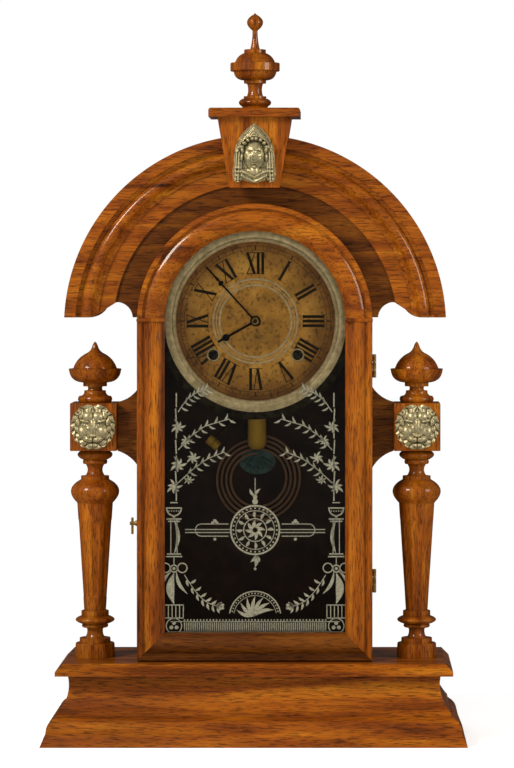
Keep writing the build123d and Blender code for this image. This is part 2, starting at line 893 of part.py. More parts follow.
# Pediment board and its half-round moulding
def scroll_notch():
    """Draw the scrolled notch under one end of the pediment."""
    low = pediment_foot - 1
    outline(
        (scroll_in, low),
        (scroll_out + 1, low),
        (scroll_out, pediment_foot),
        ((scroll_out - 6.0, pediment_foot + 1.6), (scroll_out - 12.5, pediment_foot + 7.0)),
        ((scroll_out - 17.5, pediment_foot + 11.4), (scroll_peak_x, scroll_peak)),
        ((scroll_in + 2.4, pediment_foot + 7.0), (scroll_in, pediment_foot)),
    )


def scroll_cutter():
    """The cutter for the scrolled notch in both ends of the pediment."""
    with BuildPart() as cutter:
        with BuildSketch(Plane.XZ):
            with BuildLine():
                scroll_notch()
            make_face()
        extrude(amount=case_back, both=True)
        mirror(about=Plane.YZ)
    return cutter.part


with BuildPart() as pediment_board:
    with BuildSketch(facing(pediment_front + pediment_board_thickness)):
        with Locations((0, ring_height)):
            Circle(ring_radius - 1.2)
        with Locations((0, arch_height)):
            Circle(case_half_width, mode=Mode.SUBTRACT)
    extrude(amount=pediment_board_thickness)
    split(bisect_by=Plane.XY.offset(pediment_foot), keep=Keep.TOP)
    add(scroll_cutter(), mode=Mode.SUBTRACT)
finish(pediment_board, "pediment_board")

ring_face = pediment_front - ring_relief
groove_edge = ring_radius - ring_flat
bead_edge = groove_edge - ring_groove
fillet_edge = bead_edge - ring_bead
ring_inner = fillet_edge - ring_fillet
with BuildPart() as pediment_moulding:
    with BuildSketch(Plane.XY.offset(ring_height)):
        with BuildLine():
            outline(
                (ring_inner, pediment_front),
                (ring_inner, pediment_front - fillet_relief),
                (fillet_edge, pediment_front - fillet_relief),
                (fillet_edge, pediment_front - fillet_relief - 1.2),
                ((fillet_edge + 3.6, pediment_front - fillet_relief - 2.6), (fillet_edge + 6.4, ring_face + 1.4)),
                ((fillet_edge + 10.6, ring_face - 1.0), (bead_edge, ring_face + 2.6)),
                (bead_edge + 0.8, ring_face + 4.2),
                (groove_edge, ring_face + 4.2),
                (groove_edge, ring_face),
                (ring_radius, ring_face),
                (ring_radius, pediment_front + pediment_board_thickness),
                (ring_radius - 1.2, pediment_front + pediment_board_thickness),
                (ring_radius - 1.2, pediment_front),
            )
        make_face()
    revolve(axis=Axis((0, 0, ring_height), (0, -1, 0)), revolution_arc=180)
    split(bisect_by=Plane.XY.offset(pediment_foot), keep=Keep.TOP)
    add(scroll_cutter(), mode=Mode.SUBTRACT)
finish(pediment_moulding, "pediment_moulding")

# Keystone: a wedge scribed over the moulding, with a square cap and a turned finial above
with BuildPart() as keystone:
    with BuildSketch(facing(keystone_back)):
        with BuildLine():
            Polyline(
                (-keystone_low_half, keystone_low),
                (keystone_low_half, keystone_low),
                (keystone_high_half, keystone_high),
                (-keystone_high_half, keystone_high),
                close=True,
            )
        make_face()
    extrude(amount=keystone_back - keystone_front)
    add(pediment_board.part, mode=Mode.SUBTRACT)
    add(pediment_moulding.part, mode=Mode.SUBTRACT)
    with BuildSketch(facing(keystone_back)):
        with Locations((0, ring_height)):
            Circle(ring_radius - 0.1)
    extrude(amount=keystone_back - ring_face + 1.5, mode=Mode.SUBTRACT)
finish(keystone, "keystone")

cap_top = keystone_high + keystone_cap_height
cap_middle = (keystone_front + keystone_back) / 2
with BuildPart() as keystone_cap:
    with BuildSketch(Plane.XY.offset(keystone_high)):
        with Locations((0, cap_middle)):
            Rectangle(
                2 * (keystone_high_half + keystone_cap_overhang),
                keystone_back - keystone_front + 2 * keystone_cap_overhang,
            )
    extrude(amount=keystone_cap_height)
    chamfer(faces().sort_by(Axis.Z)[-1].edges(), length=1.4)
    with BuildSketch(Plane.XY.offset(cap_top)):
        with Locations((0, cap_middle)):
            Circle(crown_dowel_radius + tenon_gap)
    extrude(amount=-keystone_cap_height + 1.4, mode=Mode.SUBTRACT)
finish(keystone_cap, "keystone_cap")

with BuildPart() as crown_finial:
    with BuildSketch(upright(0, cap_middle)):
        with BuildLine():
            low = cap_top
            outline(
                (0, low - keystone_cap_height + 1.6),
                (crown_dowel_radius, low - keystone_cap_height + 1.6),
                (crown_dowel_radius, low + 2.2),
                (crown_ring_radius - 3.0, low + 2.2),
                ((crown_ring_radius, low + 5.4), (crown_ring_radius - 3.0, low + 8.7)),
                (9.7, low + 8.7),
                (9.7, low + 10.9),
                (6.8, low + 10.9),
                ((5.8, low + 16.0), (6.8, low + 21.9)),
                (9.5, low + 21.9),
                (9.5, low + 24.5),
                ((crown_bowl_radius - 3.2, low + 27.6), (crown_bowl_radius, low + 32.4)),
                (crown_rim_radius - 2.6, low + 32.4),
                ((crown_rim_radius, low + 35.9), (crown_rim_radius - 2.6, low + 39.5)),
                (crown_dome_radius, low + 39.8),
                ((crown_dome_radius - 2.6, low + 45.2), (9.2, low + 48.0)),
                (9.2, low + 50.8),
                (4.0, low + 51.3),
                ((2.6, low + 59.0), (2.2, low + 67.1)),
                ((crown_bud_radius, low + 73.2), (1.6, low + crown_height - 1.6)),
                (0, low + crown_height),
            )
        make_face()
    revolve(axis=Axis((0, cap_middle, 0), (0, 0, 1)))
finish(crown_finial, "crown_finial")


# Masks: castings in relief, built up from domes
def dome(x, y, z, half_width, relief, half_height, turn=0):
    """A rounded boss centred on a point, turned clockwise as seen from the front."""
    with BuildPart() as made:
        Sphere(1)
        scale(by=(half_width, relief, half_height))
    return made.part.rotate(Axis.Y, turn).moved(Location((x, y, z)))


def lion_mask(x):
    """A lion's head: two rings of mane locks round a face with brows, ears, nose and muzzle."""
    front = column_y - block_side / 2
    z = block_top - block_height / 2
    unit = lion_half / 10
    with BuildPart() as mask:
        with BuildSketch(facing(front)):
            with Locations((x, z)):
                Circle(lion_half - 3.0)
        extrude(amount=0.2 * lion_relief)
        for count, reach, size, relief in ((13, 7.9, 2.1, 3.2), (10, 6.1, 1.9, 4.8)):
            for index in range(count):
                turn = index * 360 / count
                place = polar((x, z), reach * unit, 90 - turn)
                add(dome(place[0], front, place[1], size * 0.75 * unit, relief, size * unit, turn))
        add(dome(x, front, z - 0.2 * unit, 4.6 * unit, 0.66 * lion_relief, 5.6 * unit))
        add(dome(x, front - 0.2 * lion_relief, z + 1.8 * unit, 1.5 * unit, 0.56 * lion_relief, 3.4 * unit))
        for side in (-1, 1):
            add(dome(x + side * 2.5 * unit, front - 2.4, z + 2.6 * unit, 2.0 * unit, 4.4, 0.9 * unit, -side * 14))
            add(dome(x + side * 2.8 * unit, front - 2.6, z - 1.5 * unit, 2.1 * unit, 3.6, 1.7 * unit, side * 20))
            add(dome(x + side * 1.3 * unit, front - 0.3 * lion_relief, z - 2.5 * unit, 1.8 * unit,
                     0.56 * lion_relief, 1.5 * unit))
            add(dome(x + side * 5.2 * unit, front, z + 4.6 * unit, 1.5 * unit, 5.2, 1.9 * unit, side * 40))
        add(dome(x, front - 0.3 * lion_relief, z - 0.9 * unit, 1.2 * unit, 0.64 * lion_relief, 0.9 * unit))
        add(dome(x, front - 0.2 * lion_relief, z - 4.7 * unit, 1.6 * unit, 0.4 * lion_relief, 1.2 * unit))
        split(bisect_by=facing(front), keep=Keep.TOP)
    return mask


lion_mask_left = lion_mask(-column_x)
finish(lion_mask_left, "lion_mask_left")
lion_mask_right = lion_mask(column_x)
finish(lion_mask_right, "lion_mask_right")

mask_middle = (keystone_low + keystone_high) / 2
mask_unit = mask_height / 20
with BuildPart() as crown_mask:
    with BuildSketch(facing(keystone_front)):
        with Locations((0, mask_middle + 0.5)):
            Ellipse(mask_half_width - 4.0, mask_height / 2 - 3.5)
    extrude(amount=0.15 * mask_relief)
    for side in (-1, 1):
        for lock in range(5):
            reach = (3.1, 3.9, 4.4, 4.5, 4.2)[lock]
            add(dome(side * reach * mask_unit, keystone_front, mask_middle + (4.4 - 2.1 * lock) * mask_unit,
                     1.7 * mask_unit, 0.56 * mask_relief, 1.5 * mask_unit, side * (60 - 25 * lock)))
        add(dome(side * 4.7 * mask_unit, keystone_front, mask_middle - 6.0 * mask_unit,
                 1.5 * mask_unit, 0.4 * mask_relief, 3.4 * mask_unit, -side * 8))
    add(dome(0, keystone_front, mask_middle - 0.4 * mask_unit, 3.2 * mask_unit, 0.92 * mask_relief, 4.4 * mask_unit))
    add(dome(0, keystone_front, mask_middle - 5.2 * mask_unit, 2.0 * mask_unit, 0.5 * mask_relief, 2.4 * mask_unit))
    add(dome(0, keystone_front, mask_middle - 8.0 * mask_unit, 3.9 * mask_unit, 0.42 * mask_relief, 1.5 * mask_unit))
    add(dome(0, keystone_front, mask_middle + 4.4 * mask_unit, 3.9 * mask_unit, 0.86 * mask_relief, 1.3 * mask_unit))
    add(dome(0, keystone_front, mask_middle + 6.2 * mask_unit, 2.9 * mask_unit, 0.74 * mask_relief, 2.6 * mask_unit))
    add(dome(0, keystone_front - 0.7 * mask_relief, mask_middle - 0.6 * mask_unit,
             0.55 * mask_unit, 0.3 * mask_relief, 1.1 * mask_unit))
    split(bisect_by=facing(keystone_front), keep=Keep.TOP)
finish(crown_mask, "crown_mask")

# Dial pan, printed face, bezel and grommets
pan_front = face_front + face_thickness
pan_back = pan_front + pan_sheet
flange_back = pan_front + pan_skirt
with BuildPart() as dial_pan:
    with BuildSketch(Plane.XY.offset(dial_height)):
        with BuildLine():
            outline(
                (centre_hole, pan_front),
                (pan_radius, pan_front),
                (pan_radius, flange_back - pan_sheet),
                (flange_radius, flange_back - pan_sheet),
                (flange_radius, flange_back),
                (pan_radius - pan_sheet, flange_back),
                (pan_radius - pan_sheet, pan_back),
                (centre_hole, pan_back),
            )
        make_face()
    revolve(axis=dial_axis(centre_place))
    for place in (going_place, striking_place):
        with BuildSketch(dial_plane(place, pan_back)):
            Circle(grommet_inner)
        extrude(amount=pan_sheet, mode=Mode.SUBTRACT)
        with BuildSketch(dial_plane(place, pan_front)):
            Circle(grommet_inner + grommet_wall)
            Circle(grommet_inner, mode=Mode.SUBTRACT)
        extrude(amount=face_thickness + 0.6)
        with BuildSketch(dial_plane(place, face_front)):
            Circle(grommet_outer)
            Circle(grommet_inner, mode=Mode.SUBTRACT)
        extrude(amount=0.6)
    with BuildSketch(facing(plate_front)):
        with Locations(*[on_dial(place) for place in dial_feet]):
            Circle(dial_foot_radius)
    extrude(amount=plate_front - pan_back)
finish(dial_pan, "dial_pan")

with BuildPart() as dial_face:
    with BuildSketch(facing(pan_front)):
        with Locations(on_dial(centre_place)):
            Circle(face_radius)
            Circle(centre_hole, mode=Mode.SUBTRACT)
        with Locations(on_dial(going_place), on_dial(striking_place)):
            Circle(grommet_inner + grommet_wall, mode=Mode.SUBTRACT)
    extrude(amount=face_thickness)
    with BuildSketch(Plane.XY.offset(dial_height)):
        with BuildLine():
            outline(
                (centre_ring_inner, face_front),
                (((centre_ring_inner + centre_ring_outer) / 2, face_front - centre_ring_relief),
                 (centre_ring_outer, face_front)),
            )
        make_face()
    revolve(axis=dial_axis(centre_place))
finish(dial_face, "dial_face")

with BuildPart() as dial_bezel:
    with BuildSketch(Plane.XY.offset(dial_height)):
        with BuildLine():
            outline(
                (bezel_inner, pan_front),
                (bezel_inner, pan_front - 1.6),
                ((bezel_inner + 1.9, pan_front - bezel_height), (bezel_inner + 3.8, pan_front - 1.9)),
                (bezel_outer, pan_front - 0.7),
                (bezel_outer, pan_front + 1.6),
                (pan_radius + board_gap, pan_front + 1.6),
                (pan_radius + board_gap, pan_front),
            )
        make_face()
    revolve(axis=dial_axis(centre_place))
finish(dial_bezel, "dial_bezel")

# Movement plates
def plate_outline():
    """Draw the movement plate: a rectangle with its corners cut off."""
    low, high = dial_height + plate_foot, dial_height + plate_top
    Polyline(
        (-plate_half_width + plate_foot_corner, low),
        (plate_half_width - plate_foot_corner, low),
        (plate_half_width, low + plate_foot_corner),
        (plate_half_width, high - plate_corner),
        (plate_half_width - plate_corner, high),
        (-plate_half_width + plate_corner, high),
        (-plate_half_width, high - plate_corner),
        (-plate_half_width, low + plate_foot_corner),
        close=True,
    )


pivot_places = [
    second_place, third_place, escape_place, verge_place, pin_place, warning_place, fly_place, hammer_place,
]
pivot_hole = pivot_radius + running_gap
rear_arbor_hole = arbor_radius + running_gap
winding_places = (going_place, striking_place)

with BuildPart() as movement_front_plate:
    with BuildSketch(facing(plate_front + plate_thickness)):
        with BuildLine():
            plate_outline()
        make_face()
        with Locations(*[on_dial(place) for place in pivot_places]):
            Circle(pivot_hole, mode=Mode.SUBTRACT)
        with Locations(on_dial(centre_place)):
            Circle(arbor_radius + running_gap, mode=Mode.SUBTRACT)
        with Locations(*[on_dial(place) for place in winding_places]):
            Circle(winding_journal + running_gap, mode=Mode.SUBTRACT)
    extrude(amount=plate_thickness)
    stud_end = plate_front - 6.6
    with BuildSketch(facing(plate_front)):
        with Locations(on_dial(minute_place)):
            Circle(arbor_radius)
    extrude(amount=plate_front - stud_end)
finish(movement_front_plate, "movement_front_plate")

cock_height = 12.0
with BuildPart() as movement_back_plate:
    with BuildSketch(facing(plate_rear)):
        with BuildLine():
            plate_outline()
        make_face()
        with Locations(*[on_dial(place) for place in pivot_places if place not in (verge_place, hammer_place)]):
            Circle(pivot_hole, mode=Mode.SUBTRACT)
        with Locations(on_dial(centre_place)):
            Circle(pivot_hole, mode=Mode.SUBTRACT)
        with Locations(on_dial(verge_place), on_dial(hammer_place)):
            Circle(rear_arbor_hole, mode=Mode.SUBTRACT)
        with Locations(*[on_dial(place) for place in winding_places]):
            Circle(winding_pivot + running_gap, mode=Mode.SUBTRACT)
    extrude(amount=plate_thickness)
    with BuildSketch(facing(movement_back)):
        with Locations(*[on_dial(place) for place in pillar_places]):
            Circle(pillar_radius)
    extrude(amount=plate_gap)
    with BuildSketch(facing(board_face)):
        with Locations(*[on_dial(place) for place in foot_places]):
            Circle(pillar_radius + 0.6)
    extrude(amount=board_face - plate_rear)
    cock_low = dial_height + verge_rise
    with BuildSketch(Plane.YZ.offset(-4)):
        with BuildLine():
            Polyline(
                (plate_rear, cock_low + 4.6),
                (pendulum_y - 1.2, cock_low + 4.6),
                (pendulum_y - 1.2, cock_low),
                (pendulum_y + 3.4, cock_low),
                (pendulum_y + 3.4, cock_low + 7.6),
                (plate_rear, cock_low + 7.6),
                close=True,
            )
        make_face()
    extrude(amount=8)
    with BuildSketch(Plane.XY.offset(cock_low)):
        with Locations((0, pendulum_y)):
            Rectangle(spring_blade + 0.7, 12)
    extrude(amount=3.0, mode=Mode.SUBTRACT)
finish(movement_back_plate, "movement_back_plate")


# Toothed outlines: trapezoid teeth, with a tooth or a gap pointing at the gear they mesh with
def toothed(teeth, module, tooth_at, root_width, tip_width, tip):
    """Draw a toothed disc about the origin with one tooth centred on an angle in degrees."""
    pitch = 360 / teeth
    pitch_radius = module * teeth / 2
    root_radius = pitch_radius - root_share * module
    tip_radius = pitch_radius + tip * module
    points = []
    for index in range(teeth):
        middle = tooth_at + index * pitch
        for radius, width in ((root_radius, -root_width), (tip_radius, -tip_width),
                              (tip_radius, tip_width), (root_radius, root_width)):
            points.append(polar((0, 0), radius, middle + width * pitch / 2))
    Polyline(*points, close=True)


def wheel(place, teeth, module, front, tooth_at, bore=0, spokes=5, hub=4.0, thickness=wheel_thickness):
    """A crossed-out wheel with one tooth pointing at an angle."""
    rim = module * teeth / 2 - root_share * module - 2.2
    with BuildPart() as made:
        with BuildSketch(dial_plane(place, front + thickness)):
            with BuildLine():
                toothed(teeth, module, tooth_at, tooth_root, tooth_tip, tip_share)
            make_face()
            for index in range(spokes):
                from_angle, to_angle = index * 360 / spokes, (index + 1) * 360 / spokes
                with BuildLine():
                    crossing(hub, rim, from_angle, to_angle)
                make_face(mode=Mode.SUBTRACT)
            if bore:
                Circle(bore, mode=Mode.SUBTRACT)
        extrude(amount=thickness)
    return made.part


def crossing(hub, rim, from_angle, to_angle):
    """Draw one window of a crossed-out wheel, between two spokes."""
    hub_half, rim_half = degrees(asin(1.2 / hub)), degrees(asin(1.2 / rim))
    middle = (from_angle + to_angle) / 2
    outline(
        polar((0, 0), hub, from_angle + hub_half),
        polar((0, 0), rim, from_angle + rim_half),
        (polar((0, 0), rim, middle), polar((0, 0), rim, to_angle - rim_half)),
        polar((0, 0), hub, to_angle - hub_half),
        (polar((0, 0), hub, middle), polar((0, 0), hub, from_angle + hub_half)),
    )


def pinion(place, leaves, module, front, back, tooth_at, bore=0):
    """A pinion between two depths."""
    with BuildPart() as made:
        with BuildSketch(dial_plane(place, back)):
            with BuildLine():
                toothed(leaves, module, tooth_at, leaf_root, leaf_tip, leaf_tip_share)
            make_face()
            if bore:
                Circle(bore, mode=Mode.SUBTRACT)
        extrude(amount=back - front)
    return made.part


def rod(place, radius, front, back):
    """A round rod along the fore-and-aft axis."""
    with BuildPart() as made:
        with BuildSketch(dial_plane(place, back)):
            Circle(radius)
        extrude(amount=back - front)
    return made.part


def arbor(place):
    """An arbor with a pivot in each plate."""
    with BuildPart() as made:
        add(rod(place, arbor_radius, plate_front + plate_thickness + end_shake, movement_back - end_shake))
        add(rod(place, pivot_radius, plate_front + end_shake, plate_rear - end_shake))
    return made.part


def mesh_tooth(place, other):
    """The angle at which a driving wheel's tooth points at its pinion."""
    return bearing(place, other)


def mesh_gap(place, other, leaves):
    """The angle of a tooth of a pinion whose gap points back at its wheel."""
    return bearing(place, other) + 180 / leaves


def pinion_span(front):
    """The front and back of a pinion that meshes with a wheel at the given depth."""
    return front - pinion_overlap, front + wheel_thickness + pinion_overlap


# Going train
def great_wheel(place, other):
    """A great wheel riding on its winding arbor, with a hub behind and a click in front."""
    with BuildPart() as built:
        add(wheel(place, great_teeth, great_module, great_front, mesh_tooth(place, other),
                  bore=winding_radius + running_gap, spokes=6, hub=12.4, thickness=great_thickness))
        with BuildSketch(dial_plane(place, great_front + great_thickness + 1.4)):
            Circle(6.0)
            Circle(winding_radius + running_gap, mode=Mode.SUBTRACT)
        extrude(amount=1.5)
        with BuildSketch(dial_plane(place, great_front)):
            with Locations(polar((0, 0), ratchet_radius + 3.2, 100)):
                Circle(1.9)
            with Locations(polar((0, 0), ratchet_radius + 1.5, 78)):
                Rectangle(7.4, 1.8, rotation=-4)
        extrude(amount=great_front - ratchet_front)
    return built


time_great_wheel = great_wheel(going_place, second_place)
finish(time_great_wheel, "time_great_wheel")
strike_great_wheel = great_wheel(striking_place, pin_place)
finish(strike_great_wheel, "strike_great_wheel")


def winding_arbor(place):
    """A winding arbor: square end, journals and a ratchet."""
    inside_front = plate_front + plate_thickness + end_shake
    with BuildPart() as built:
        add(rod(place, winding_radius, inside_front, movement_back - end_shake))
        add(rod(place, winding_journal, plate_front - 0.4, inside_front))
        add(rod(place, winding_pivot, movement_back - end_shake, plate_rear - end_shake))
        with BuildSketch(dial_plane(place, plate_front - 0.4)):
            Rectangle(winding_square, winding_square)
        extrude(amount=plate_front - 0.4 - (face_front + 0.6))
        points = []
        for index in range(ratchet_teeth):
            start = index * 360 / ratchet_teeth
            points.append(polar((0, 0), ratchet_radius, start))
            points.append(polar((0, 0), ratchet_radius - 1.5, start + 4))
        with BuildSketch(dial_plane(place, ratchet_front + ratchet_thickness)):
            with BuildLine():
                Polyline(*points, close=True)
            make_face()
        extrude(amount=ratchet_thickness)
    return built


time_winding_arbor = winding_arbor(going_place)
finish(time_winding_arbor, "time_winding_arbor")
strike_winding_arbor = winding_arbor(striking_place)
finish(strike_winding_arbor, "strike_winding_arbor")

spring_inner = winding_radius + 0.35
spring_pitch = (spring_outer - spring_inner - spring_strip) / spring_turns
with BuildPart() as mainsprings:
    for place in winding_places:
        with BuildSketch(dial_plane(place, spring_front + spring_width)):
            with BuildLine():
                for offset in (0, spring_strip):
                    for half in range(2 * spring_turns):
                        side = 1 if half % 2 == 0 else -1
                        near = spring_inner + offset + half * spring_pitch / 2
                        far = near + spring_pitch / 2
                        start, end = (side * near, 0), (-side * far, 0)
                        ThreePointArc(start, ((start[0] + end[0]) / 2, side * (near + far) / 2), end)
                last = spring_inner + spring_turns * spring_pitch
                Line((spring_inner, 0), (spring_inner + spring_strip, 0))
                Line((last, 0), (last + spring_strip, 0))
            make_face()
        extrude(amount=spring_width)
finish(mainsprings, "mainsprings")

with BuildPart() as second_wheel:
    add(arbor(second_place))
    add(pinion(second_place, second_leaves, great_module, *pinion_span(great_front + 0.1),
               mesh_gap(second_place, going_place, second_leaves)))
    add(wheel(second_place, second_teeth, second_module, second_front, mesh_tooth(second_place, centre_place)))
finish(second_wheel, "second_wheel")

cannon_end = minute_hand_front - 0.6
with BuildPart() as centre_wheel:
    add(arbor(centre_place))
    add(rod(centre_place, arbor_radius, cannon_end + 0.4, movement_back - end_shake))
    add(pinion(centre_place, centre_leaves, second_module, *pinion_span(second_front),
               mesh_gap(centre_place, second_place, centre_leaves)))
    add(wheel(centre_place, centre_teeth, centre_module, centre_front, mesh_tooth(centre_place, third_place)))
finish(centre_wheel, "centre_wheel")

with BuildPart() as third_wheel:
    add(arbor(third_place))
    add(pinion(third_place, third_leaves, centre_module, *pinion_span(centre_front),
               mesh_gap(third_place, centre_place, third_leaves)))
    add(wheel(third_place, third_teeth, third_module, third_front, mesh_tooth(third_place, escape_place), hub=3.4))
finish(third_wheel, "third_wheel")

with BuildPart() as escape_wheel:
    add(arbor(escape_place))
    add(pinion(escape_place, escape_leaves, third_module, *pinion_span(third_front),
               mesh_gap(escape_place, third_place, escape_leaves)))
    escape_points = []
    for index in range(escape_teeth):
        start = index * 360 / escape_teeth
        escape_points.append(polar((0, 0), escape_radius, start))
        escape_points.append(polar((0, 0), escape_radius - 1.5, start + 1.6))
    with BuildSketch(dial_plane(escape_place, escape_front + wheel_thickness)):
        with BuildLine():
            Polyline(*escape_points, close=True)
        make_face()
        with PolarLocations(0.56 * escape_radius, 5):
            Circle(0.22 * escape_radius, mode=Mode.SUBTRACT)
    extrude(amount=wheel_thickness)
finish(escape_wheel, "escape_wheel")

# Verge: pallet strip and crutch on one arbor, in line with the pendulum's suspension
pallet_reach = 43.0
pallet_clear = escape_radius + 1.5
pallet_tip = polar(escape_place, pallet_clear, 90 - pallet_reach)
crutch_front = plate_rear + 0.5
with BuildPart() as verge:
    add(rod(verge_place, arbor_radius, plate_front + plate_thickness + end_shake, crutch_front + 1.2))
    add(rod(verge_place, pivot_radius, plate_front + end_shake, movement_back))
    verge_middle = on_dial(verge_place)
    with BuildSketch(facing(escape_front + wheel_thickness + 0.6)):
        with Locations(verge_middle):
            Circle(2.6)
        for side in (-1, 1):
            tip = (side * pallet_tip[0], dial_height + pallet_tip[1])
            shoulder = (side * (pallet_tip[0] + 1.6), dial_height + pallet_tip[1] + 4.2)
            with BuildLine():
                Polyline(
                    (0, verge_middle[1] + 1.6), (side * 6.0, verge_middle[1] + 0.8), shoulder,
                    (tip[0] + side * 1.4, tip[1] + 0.6), tip, (shoulder[0] - side * 2.0, shoulder[1] - 0.4),
                    (side * 5.0, verge_middle[1] - 1.2), (0, verge_middle[1] - 1.2), close=True,
                )
            make_face()
    extrude(amount=wheel_thickness + 1.2)
    with BuildSketch(facing(crutch_front + 1.2)):
        with Locations(verge_middle):
            Circle(2.4)
        with Locations((0, verge_middle[1] - crutch_length / 2)):
            Rectangle(1.6, crutch_length)
        with Locations((0, verge_middle[1] - crutch_length)):
            Rectangle(5.2, 2.0)
    extrude(amount=1.2)
    with BuildSketch(facing(pendulum_y + rod_radius + 1.2)):
        for side in (-1, 1):
            with Locations((side * (rod_radius + 0.85), verge_middle[1] - crutch_length)):
                Rectangle(1.2, 2.0)
    extrude(amount=pendulum_y + rod_radius + 1.2 - crutch_front - 0.6)
finish(verge, "verge")

# Pendulum: suspension blade, rod and a round-bottomed cylinder bob
with BuildPart() as pendulum_rod:
    blade_low = cock_low - 11.0
    with BuildSketch(facing(pendulum_y + spring_blade_width / 2)):
        with Locations((0, (cock_low + 1.6 + blade_low) / 2)):
            Rectangle(spring_blade, cock_low + 1.6 - blade_low)
    extrude(amount=spring_blade_width)
    with BuildSketch(Plane.XY.offset(blade_low - 4)):
        with Locations((0, pendulum_y)):
            Rectangle(2.0, spring_blade_width)
    extrude(amount=5)
    with BuildSketch(Plane.XY.offset(bob_high - 20)):
        with Locations((0, pendulum_y)):
            Circle(rod_radius)
    extrude(amount=blade_low - 3 - (bob_high - 20))
finish(pendulum_rod, "pendulum_rod")

with BuildPart() as pendulum_bob:
    with BuildSketch(upright(0, pendulum_y)):
        with BuildLine():
            outline(
                (0, bob_low),
                (bob_radius - 4.4, bob_low),
                ((bob_radius - 1.1, bob_low + 1.9), (bob_radius, bob_low + 6.4)),
                (bob_radius, bob_high - 1.2),
                (bob_radius - 1.2, bob_high),
                (rod_radius + tenon_gap, bob_high),
                (rod_radius + tenon_gap, bob_high - 20),
                (0, bob_high - 20),
            )
        make_face()
    revolve(axis=Axis((0, pendulum_y, 0), (0, 0, 1)))
finish(pendulum_bob, "pendulum_bob")

# Strike train
with BuildPart() as pin_wheel:
    add(arbor(pin_place))
    add(pinion(pin_place, pin_leaves, great_module, *pinion_span(great_front + 0.1),
               mesh_gap(pin_place, striking_place, pin_leaves)))
    add(wheel(pin_place, pin_teeth, pin_module, pin_front, mesh_tooth(pin_place, warning_place), hub=3.6))
    with BuildSketch(facing(pin_front + wheel_thickness + 2.6)):
        with Locations(on_dial(pin_place)):
            with PolarLocations(lifting_pin_circle, lifting_pins, start_angle=22.5):
                Circle(0.6)
    extrude(amount=2.7)
finish(pin_wheel, "pin_wheel")

with BuildPart() as warning_wheel:
    add(arbor(warning_place))
    add(pinion(warning_place, warning_leaves, pin_module, *pinion_span(pin_front),
               mesh_gap(warning_place, pin_place, warning_leaves)))
    add(wheel(warning_place, warning_teeth, warning_module, warning_front,
              mesh_tooth(warning_place, fly_place), hub=3.2))
finish(warning_wheel, "warning_wheel")

with BuildPart() as fly:
    add(arbor(fly_place))
    add(pinion(fly_place, fly_leaves, warning_module, *pinion_span(warning_front),
               mesh_gap(fly_place, warning_place, fly_leaves)))
    with BuildSketch(Plane.XY.offset(on_dial(fly_place)[1] - 0.35)):
        with Locations((fly_place[0], 16.5)):
            Rectangle(2 * fly_half_width, 9.0)
    extrude(amount=0.7)
finish(fly, "fly")

# Motion work: cannon pipe, minute wheel on its stud, and hour wheel
minute_plane = plate_front - 2.2
hour_plane = minute_plane - 3.0
with BuildPart() as minute_arbor:
    with BuildSketch(Plane.XY.offset(dial_height)):
        with BuildLine():
            outline(
                (0, cannon_end),
                (minute_pipe_bore, cannon_end),
                (minute_pipe_bore, plate_front - 0.3),
                (minute_pipe_radius, plate_front - 0.3),
                (minute_pipe_radius, cannon_end),
                (nut_radius + 1.2, cannon_end),
                (nut_radius + 1.2, cannon_end - 0.6),
                (nut_radius - 0.4, cannon_end - 0.6),
                ((nut_radius, cannon_end - 2.2), (1.0, cannon_end - 4.4)),
                (0, cannon_end - 4.4),
            )
        make_face()
    revolve(axis=dial_axis(centre_place))
    add(pinion(centre_place, cannon_leaves, motion_module, minute_plane - 0.8, minute_plane + 1.9,
               mesh_gap(centre_place, minute_place, cannon_leaves), bore=minute_pipe_radius - 0.2))
finish(minute_arbor, "minute_arbor")

with BuildPart() as minute_wheel:
    add(wheel(minute_place, minute_teeth, motion_module, minute_plane, mesh_tooth(minute_place, centre_place),
              bore=arbor_radius + running_gap, spokes=4, hub=3.4, thickness=1.2))
    add(pinion(minute_place, minute_leaves, motion_module, hour_plane - 0.6, minute_plane,
               mesh_gap(minute_place, centre_place, minute_leaves), bore=arbor_radius + running_gap))
finish(minute_wheel, "minute_wheel")

hour_bore = minute_pipe_radius + running_gap
with BuildPart() as hour_wheel:
    add(wheel(centre_place, hour_teeth, motion_module, hour_plane, mesh_tooth(centre_place, minute_place),
              bore=hour_bore, spokes=4, hub=4.4, thickness=1.2))
    with BuildSketch(facing(hour_plane + 1.2)):
        with Locations(on_dial(centre_place)):
            Circle(hour_pipe_radius)
            Circle(hour_bore, mode=Mode.SUBTRACT)
    extrude(amount=hour_plane + 1.2 - hour_hand_front)
finish(hour_wheel, "hour_wheel")


# Hands, drawn pointing up and turned to the time shown
def hand(length, tail, hub, bore, front, angle, waist, shape):
    """A flat hand with an eye at its middle, turned clockwise by an angle from twelve."""
    with BuildPart() as built:
        with BuildSketch(facing(front + hand_thickness)):
            with Locations(Location((0, dial_height, 0), (0, 0, -angle))):
                Circle(hub)
                with Locations((0, length / 2)):
                    Rectangle(waist, length)
                shape()
                Circle(bore, mode=Mode.SUBTRACT)
        extrude(amount=hand_thickness)
    return built


def kite():
    """The minute hand's kite and pointed end."""
    with Locations((0, minute_kite)):
        RegularPolygon(2.9, 4, rotation=0)
    with Locations((0, minute_kite + 7.5)):
        Trapezoid(2.6, 8.0, 84)


def blob():
    """The hour hand's round blob and pointed end."""
    with Locations((0, hour_blob)):
        Circle(3.1)
    with Locations((0, hour_blob + 4.6)):
        Trapezoid(3.0, 6.0, 80)


minute_hand = hand(
    minute_hand_length, 0, 3.4, minute_pipe_radius, minute_hand_front, minute_hand_angle, 1.5, kite
)
finish(minute_hand, "minute_hand")
hour_hand = hand(
    hour_hand_length, 0, 4.6, hour_pipe_radius, hour_hand_front, hour_hand_angle, 2.0, blob
)
finish(hour_hand, "hour_hand")

